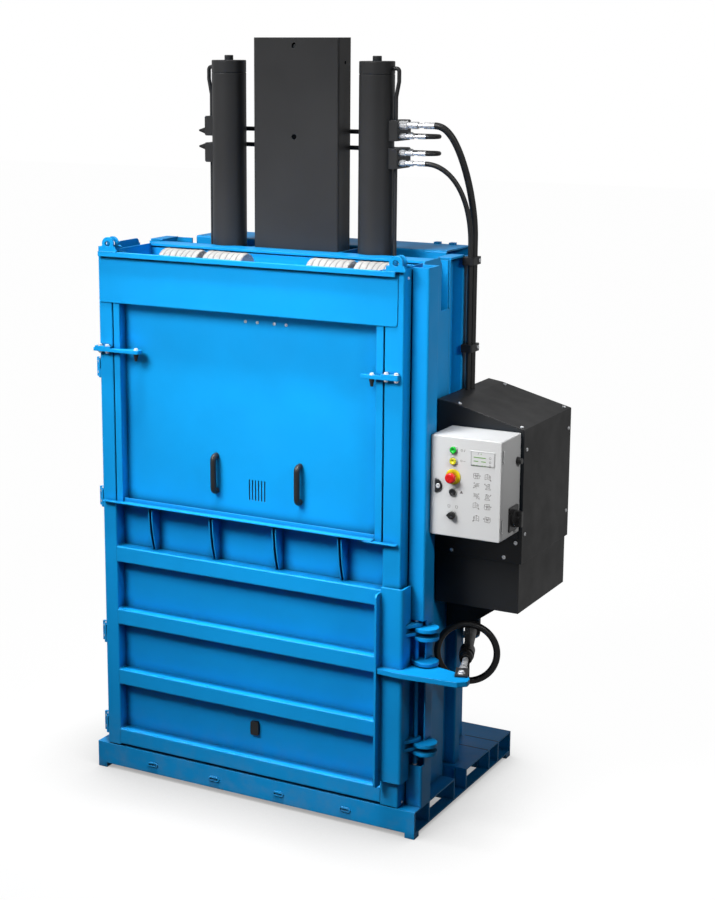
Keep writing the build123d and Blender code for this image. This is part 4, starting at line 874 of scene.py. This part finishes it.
green_lens = glossy("green_lens", (0.010, 0.62, 0.050), 0.25)
yellow_lens = glossy("yellow_lens", (0.72, 0.68, 0.020), 0.25)
dress(glossy("stop_red", (0.72, 0.008, 0.010), 0.28), "emergency_stop")
collar_grey = glossy("collar_grey", (0.50, 0.51, 0.50), 0.30)
ring_yellow = glossy("ring_yellow", (0.74, 0.60, 0.010), 0.35)
door_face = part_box("control_door")[0].y
CONTROL_X = 0.856
CONTROL_ZS = {"green": 1.555, "yellow": 1.512, "stop": 1.451, "black": 1.393, "selector": 1.303}


def turned_piece(name, profile, z, material, slot, body, sides=48, x=CONTROL_X, proud=0.0):
    """A ring turned about Y on the door, from (depth, radius) pairs; depth grows towards the front."""
    place = Matrix.Translation((x, door_face - proud, z))
    return finished(put(revolved(name, profile, sides), place @ TO_FRONT), material, body)


collar_profile = [(0.0, 0.0136), (0.0, 0.0164), (0.0020, 0.0166), (0.0046, 0.0156), (0.0054, 0.0142),
                  (0.0050, 0.0136)]
for label in ("green", "yellow", "black", "selector"):
    turned_piece(f"{label}_collar", collar_profile, CONTROL_ZS[label], collar_grey, "collar", "control_lid")
stop_profile = [(0.0, 0.0115), (0.0, 0.0300), (0.0020, 0.0300), (0.0030, 0.0285), (0.0030, 0.0115)]
stop_ring = turned_piece("stop_ring", stop_profile, CONTROL_ZS["stop"], ring_yellow, "yellow",
                         "control_lid", 64)
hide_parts("button_collars")
CAP_FINISHES = {"green": (green_lens, "green"), "yellow": (yellow_lens, "yellow"), "black": BLACK}
for label, finish in CAP_FINISHES.items():
    proud = door_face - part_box(f"{label}_button")[0].y
    profile = [(-0.0040, 0.0008), (-0.0040, 0.0100), (0.0052, 0.0100), (0.0054, 0.0130),
               (proud - 0.0016, 0.0130), (proud - 0.0003, 0.0120), (proud, 0.0104), (proud - 0.0007, 0.0088),
               (proud - 0.0009, 0.0008)]
    cap = turned_piece(f"{label}_cap", profile, CONTROL_ZS[label], *finish, label)
    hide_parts(f"{label}_button")


def shaped_knob(name, outline, low, high, edge, material, slot, body, inset=0.94):
    """A flat moulded knob from its (x, z) outline, with a rounded front edge."""
    mesh = bmesh.new()
    centre_x = sum(x for x, z in outline) / len(outline)
    centre_z = sum(z for x, z in outline) / len(outline)
    rings = []
    levels = ((low, 1.0), (high - edge, 1.0), (high - edge * 0.3, (1.0 + inset) / 2), (high, inset))
    for proud, size in levels:
        rings.append([mesh.verts.new((centre_x + (x - centre_x) * size, door_face - proud,
                                      centre_z + (z - centre_z) * size)) for x, z in outline])
    for lower, upper in zip(rings, rings[1:]):
        for i in range(len(outline)):
            j = (i + 1) % len(outline)
            mesh.faces.new((lower[i], lower[j], upper[j], upper[i]))
    mesh.faces.new(rings[0])
    mesh.faces.new(rings[-1])
    bmesh.ops.recalc_face_normals(mesh, faces=mesh.faces)
    return finished(shown_mesh(name, mesh), material, body)


KNOB_RADIUS, NOSE_REACH, KNOB_SINK, SELECTOR_Z = 0.0145, 0.0205, 0.006, CONTROL_ZS["selector"]
shoulder = math.acos(KNOB_RADIUS / NOSE_REACH)
turns = [-math.pi + shoulder + (2 * math.pi - 2 * shoulder) * i / 30 for i in range(31)]
drop_outline = [(CONTROL_X + KNOB_RADIUS * math.cos(t), SELECTOR_Z + KNOB_RADIUS * math.sin(t))
                for t in turns]
drop_outline.append((CONTROL_X - NOSE_REACH, SELECTOR_Z))
knob_face = door_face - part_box("selector_knob")[0].y - KNOB_SINK
selector = shaped_knob("selector_drop", drop_outline, 0.0056, knob_face, 0.002, *BLACK, "selector")
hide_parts("selector_knob")
dimple = [(0.0, 0.0008), (0.0, 0.0098), (0.0012, 0.0098), (0.0018, 0.0088), (0.0010, 0.0066),
          (0.0008, 0.0008)]
turned_piece("selector_dish", dimple, SELECTOR_Z, *BLACK, "selector", 32, proud=knob_face)
selector_stem = [(-0.0040, 0.0008), (-0.0040, 0.0100), (0.0060, 0.0100), (0.0060, 0.0008)]
turned_piece("selector_stem", selector_stem, SELECTOR_Z, *BLACK, "selector", 24)

LOCK_X, LOCK_Z, LOCK_PROUD = 0.796, 1.410, 0.0050
MOON_SHIFT, MOON_WIDE, MOON_TALL = -0.0135, 0.0285, 0.0270
half_turn = [math.pi * (i / 24 - 0.5) for i in range(25)]
moon_outline = [(LOCK_X + MOON_SHIFT + MOON_WIDE * math.cos(t), LOCK_Z + MOON_TALL * math.sin(t))
                for t in half_turn]
latch = shaped_knob("lock_moon", moon_outline, 0.0006, LOCK_PROUD, 0.0015, *BLACK, "lock", 0.93)
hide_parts("door_lock")
barrel_profile = [(-0.0160, 0.0008), (-0.0160, 0.0082), (0.0012, 0.0092), (0.0020, 0.0082), (0.0012, 0.0050),
                  (0.0014, 0.0008)]
turned_piece("lock_barrel", barrel_profile, LOCK_Z, bright_zinc, "zinc", "lock", 32, LOCK_X, LOCK_PROUD)


def flat_signs(name, shapes, material, face=door_face, thick=0.0004):
    """Thin printed signs on a face of the door, each a list of (x, z) outlines filled flat."""
    mesh = bmesh.new()
    for outline in shapes:
        front = [mesh.verts.new((x, face - thick, z)) for x, z in outline]
        back = [mesh.verts.new((x, face, z)) for x, z in outline]
        mesh.faces.new(front)
        mesh.faces.new(back[::-1])
        for i in range(len(outline)):
            j = (i + 1) % len(outline)
            mesh.faces.new((front[j], front[i], back[i], back[j]))
    bmesh.ops.recalc_face_normals(mesh, faces=mesh.faces)
    return finished(shown_mesh(name, mesh), material, "control_lid")


def bar(x0, x1, z0, z1):
    """An upright rectangle between two levels."""
    return [(x0, z0), (x1, z0), (x1, z1), (x0, z1)]


def triangle(x, z, size):
    """An arrow head that points up."""
    return [(x - size, z - size * 0.7), (x + size, z - size * 0.7), (x, z + size)]


def stroke(x0, z0, x1, z1, width):
    """A straight printed line of even width."""
    a, b = Vector((x0, z0)), Vector((x1, z1))
    side = (b - a).orthogonal().normalized() * width / 2
    return [tuple(corner) for corner in (a - side, b - side, b + side, a + side)]


def ring_of(x, z, r, width, parts=20):
    """A flat ring as quads."""
    quads = []
    for i in range(parts):
        a, b = 2 * math.pi * i / parts, 2 * math.pi * (i + 1) / parts
        corners = ((r, a), (r, b), (r - width, b), (r - width, a))
        quads.append([(x + reach * math.cos(t), z + reach * math.sin(t)) for reach, t in corners])
    return quads


printed_grey = moulded("printed_grey", (0.145, 0.125, 0.120), roughness=0.5, depth=0.0)
lamp_green = moulded("lamp_green", (0.17, 0.42, 0.07), roughness=0.3, depth=0.0)
dress(cabinet_coat, "display_window")
window_low, window_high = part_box("display_window")
lights = [bar(0.939, 0.987, 1.5350, 1.5382)]
lights += [bar(x, x + 0.018, 1.5206, 1.5236) for x in (0.939, 0.969)]
lights += [bar(x - 0.0016, x + 0.0016, 1.5046, 1.5082) for x in (0.940, 0.952, 0.973, 0.985)]
lights.append(bar(0.9668, 0.9700, 1.5494, 1.5526))
flat_signs("panel_lights", lights, lamp_green, window_low.y, 0.0005)
RIM_INSET, RIM_WIDTH = 0.002, 0.0012
rim_x0, rim_x1 = window_low.x + RIM_INSET, window_high.x - RIM_INSET
rim_z0, rim_z1 = window_low.z + RIM_INSET, window_high.z - RIM_INSET
rim = [bar(rim_x0, rim_x1, z, z + RIM_WIDTH) for z in (rim_z0, rim_z1 - RIM_WIDTH)]
rim += [bar(x, x + RIM_WIDTH, rim_z0 + RIM_WIDTH, rim_z1 - RIM_WIDTH) for x in (rim_x0, rim_x1 - RIM_WIDTH)]
rim_grey = moulded("rim_grey", (0.36, 0.36, 0.36), roughness=0.5, depth=0.0)
flat_signs("panel_rim", rim, rim_grey, window_low.y)
marks = [stroke(0.9555, 1.5480, 0.9590, 1.5555, 0.0014)]
for z in (1.5385, 1.5226, 1.5084):
    marks += ring_of(1.0045, z, 0.0042, 0.0010, 14)
flat_signs("panel_marks", marks, printed_grey, window_low.y)

signs = ring_of(0.8890, 1.5560, 0.0042, 0.0011) + [stroke(0.8985, 1.5510, 0.9020, 1.5610, 0.0014)]
signs += ring_of(0.8880, 1.5155, 0.0040, 0.0009) + [stroke(0.8960, 1.5155, 0.9040, 1.5155, 0.0009)]
signs += [triangle(0.8907, 1.3965, 0.0050), bar(0.8845, 0.8970, 1.3895, 1.3915)]
for x in (0.8403, 0.8717):
    shield = ((x - 0.0050, 1.3400), (x + 0.0050, 1.3400), (x + 0.0042, 1.3330), (x, 1.3290),
              (x - 0.0042, 1.3330))
    signs += [stroke(*a, *b, 0.0009) for a, b in zip(shield, shield[1:] + shield[:1])]
STEP_XS = (0.951, 0.997)
STEP_ZS = (1.465, 1.428, 1.388, 1.351, 1.302)
# Each drawing has its lines, its rings and its arrow heads, in millimetres from its middle
TIED_BALE = (((-11, -9, 9, -11), (9, -11, 13, -5), (13, -5, 12, 9), (12, 9, -8, 11), (-8, 11, -11, -9),
              (-4, -10, -2, 10), (3, -10, 5, 10), (-11, 3, 9, 1), (9, 1, 13, 6)),
             ((0, 0, 3.0),), ((-14, 2, 2.4),))
STRAP_FEED = (((-12, -10, 10, -10), (-6, -3, -12, -10), (4, -4, 10, -10), (7, 4, 13, 9), (10, 9, 13, 9),
               (-9, 10, -2, 12)), ((-1, 3, 7.5), (-1, 3, 2.6)), ((12, 10, 2.6),))
OPEN_DOOR = (((-12, -10, -12, 8), (-12, 8, -3, 12), (-3, 12, -3, -6), (-3, -6, -12, -10), (-3, -6, 9, -10),
              (9, -10, 9, 6), (9, 6, -3, 12), (-9, 0, -6, 1), (2, -3, 6, -4)),
             ((5, 2, 3.0),), ((11, -11, 2.8),))
WHEEL_TURN = (((-10, -10, -4, -2), (-4, -2, 0, -11), (4, 8, 12, 10), (5, 4, 12, 3), (6, -1, 11, -4),
               (-13, -4, -6, 2)), ((1, 3, 6.0), (1, 3, 1.8), (-9, 9, 2.4)), ((-12, -9, 2.2),))
DRAWINGS = (TIED_BALE, STRAP_FEED, OPEN_DOOR, WHEEL_TURN)
MM = 0.001
for row, z in enumerate(STEP_ZS):
    for column, x in enumerate(STEP_XS):
        lines, rings, heads = DRAWINGS[(row * 3 + column * 2 + row // 2) % 4]
        hand = MM if (row + column) % 2 else -MM
        for a, b, c, d in lines:
            signs.append(stroke(x + a * hand, z + b * MM, x + c * hand, z + d * MM, MM))
        for across, up, radius in rings:
            signs += ring_of(x + across * hand, z + up * MM, radius * MM, MM, 14)
        signs += [triangle(x + across * hand, z + up * MM, size * MM) for across, up, size in heads]
flat_signs("door_signs", signs, printed_grey)


# Hydraulics
# Steel lines run from drilled blocks to the cylinders. Two long rubber hoses arch over and down to the pack,
# and two short ones bridge the blocks. Bright zinc hose ends screw into the blocks, black plugs close the
# left ones, and black saddles hold the hoses on the column.
dress(bright_zinc, "hose_fittings")
PLUGS_END = -0.40
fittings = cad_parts["hose_fittings"]
fittings.data.materials.append(black_plastic)
for face in fittings.data.polygons:
    if (fittings.matrix_world @ face.center).x < PLUGS_END:
        face.material_index = len(fittings.data.materials) - 1
hose_rubber = moulded("hose_rubber", (0.010, 0.010, 0.010), roughness=0.46, grain=300.0, depth=0.35,
                      specular=0.45)
dress(hose_rubber, "hydraulic_hoses")
dress(black_plastic, "hose_clamps")


# Floor and lights
# A plain white studio: a soft box high in front and to the left, aimed at the top of the machine, a narrow
# strip above the front that brightens ledges and rails, and weak fills from above and from the right.
def studio_white(tree, bright, plain):
    """What the camera and mirrors see of the surround, beside what lights the object."""
    path = tree.nodes.new("ShaderNodeLightPath")
    mirrored = maths(tree, "MULTIPLY", path.outputs["Is Glossy Ray"], MIRRORED)
    seen = maths(tree, "MAXIMUM", path.outputs["Is Camera Ray"], path.outputs["Is Transmission Ray"])
    seen = maths(tree, "MAXIMUM", seen, mirrored)
    lift = maths(tree, "MULTIPLY", seen, bright)
    return maths(tree, "ADD", lift, maths(tree, "MULTIPLY", maths(tree, "SUBTRACT", 1.0, seen), plain))


MIRRORED, AMBIENT = 0.40, 0.05
WHITE = (1.0, 1.0, 1.0, 1.0)
world = bpy.data.worlds.new("studio")
world.use_nodes = True
bpy.context.scene.world = world
surround = world.node_tree.nodes["Background"]
tune(surround, color=WHITE)
world.node_tree.links.new(studio_white(world.node_tree, 1.0, AMBIENT), surround.inputs["Strength"])

floor_mesh = bpy.data.meshes.new("studio_floor")
SIDE = 30.0
floor_corners = [(-SIDE, -SIDE, 0), (SIDE, -SIDE, 0), (SIDE, SIDE, 0), (-SIDE, SIDE, 0)]
floor_mesh.from_pydata(floor_corners, [], [(0, 1, 2, 3)])
floor = shown("studio_floor", floor_mesh)
pale, pale_tree, pale_shader = new_material("pale_floor")
FLOOR_GREY, OPEN_GLOW, CONTACT_GLOW, CONTACT_REACH = 0.06, 0.985, 0.36, 0.50
# Ambient occlusion dims the floor's glow near the machine: a painted contact shadow.
painted_contact_shadow = pale_tree.nodes.new("ShaderNodeAmbientOcclusion")
painted_contact_shadow.samples = 12
tune(painted_contact_shadow, distance=CONTACT_REACH)
glow = spread(pale_tree, painted_contact_shadow.outputs["AO"], 0.15, 1.0, CONTACT_GLOW, OPEN_GLOW)
tune(pale_shader, base_color=(FLOOR_GREY, FLOOR_GREY, FLOOR_GREY, 1.0), roughness=0.9, emission_color=WHITE)
pale_shader.inputs["Specular IOR Level"].default_value = 0.0
pale_tree.links.new(studio_white(pale_tree, glow, 0.0), pale_shader.inputs["Emission Strength"])
floor.data.materials.append(pale)


def soft_box(name, place, aim, size, watts, spread_deg=180.0):
    """A rectangular lamp at a place, turned to its aim."""
    data = bpy.data.lights.new(name, "AREA")
    data.shape, data.size, data.size_y = "RECTANGLE", *size
    data.energy = watts
    data.spread = math.radians(spread_deg)
    lamp = shown(name, data)
    lamp.location = place
    lamp.rotation_euler = (Vector(aim) - Vector(place)).to_track_quat("-Z", "Y").to_euler()


soft_box("front_soft_box", (-1.3, -3.4, 4.7), (0.05, -0.45, 1.9), (2.8, 2.2), 32.0, 44.0)
soft_box("front_strip", (0.0, -1.05, 5.4), (0.0, -0.44, 0.9), (1.6, 0.3), 7.5, 26.0)
soft_box("top_soft_box", (0.5, -0.4, 5.6), (0.3, -0.1, 2.0), (2.0, 2.0), 13.0)
soft_box("right_fill", (4.0, -1.8, 3.8), (0.95, -0.1, 1.9), (0.8, 0.8), 3.6, 36.0)


# Camera
# It stands where the photograph was taken from: to the right of the front and about as high as the tower.
camera_data = bpy.data.cameras.new("photo_camera")
camera = shown("photo_camera", camera_data)
camera.location = (3.5395, -6.355, 3.069)
TILT, TURN = math.radians(78.19), math.radians(29.42)
camera.rotation_euler = (TILT, 0.0, TURN)
camera_data.sensor_width, camera_data.lens = 36.0, 71.7
camera_data.shift_x, camera_data.shift_y = 0.0731, -0.0429
camera_data.clip_end = 100.0
bpy.context.scene.camera = camera
bpy.context.scene.view_settings.view_transform = "Standard"
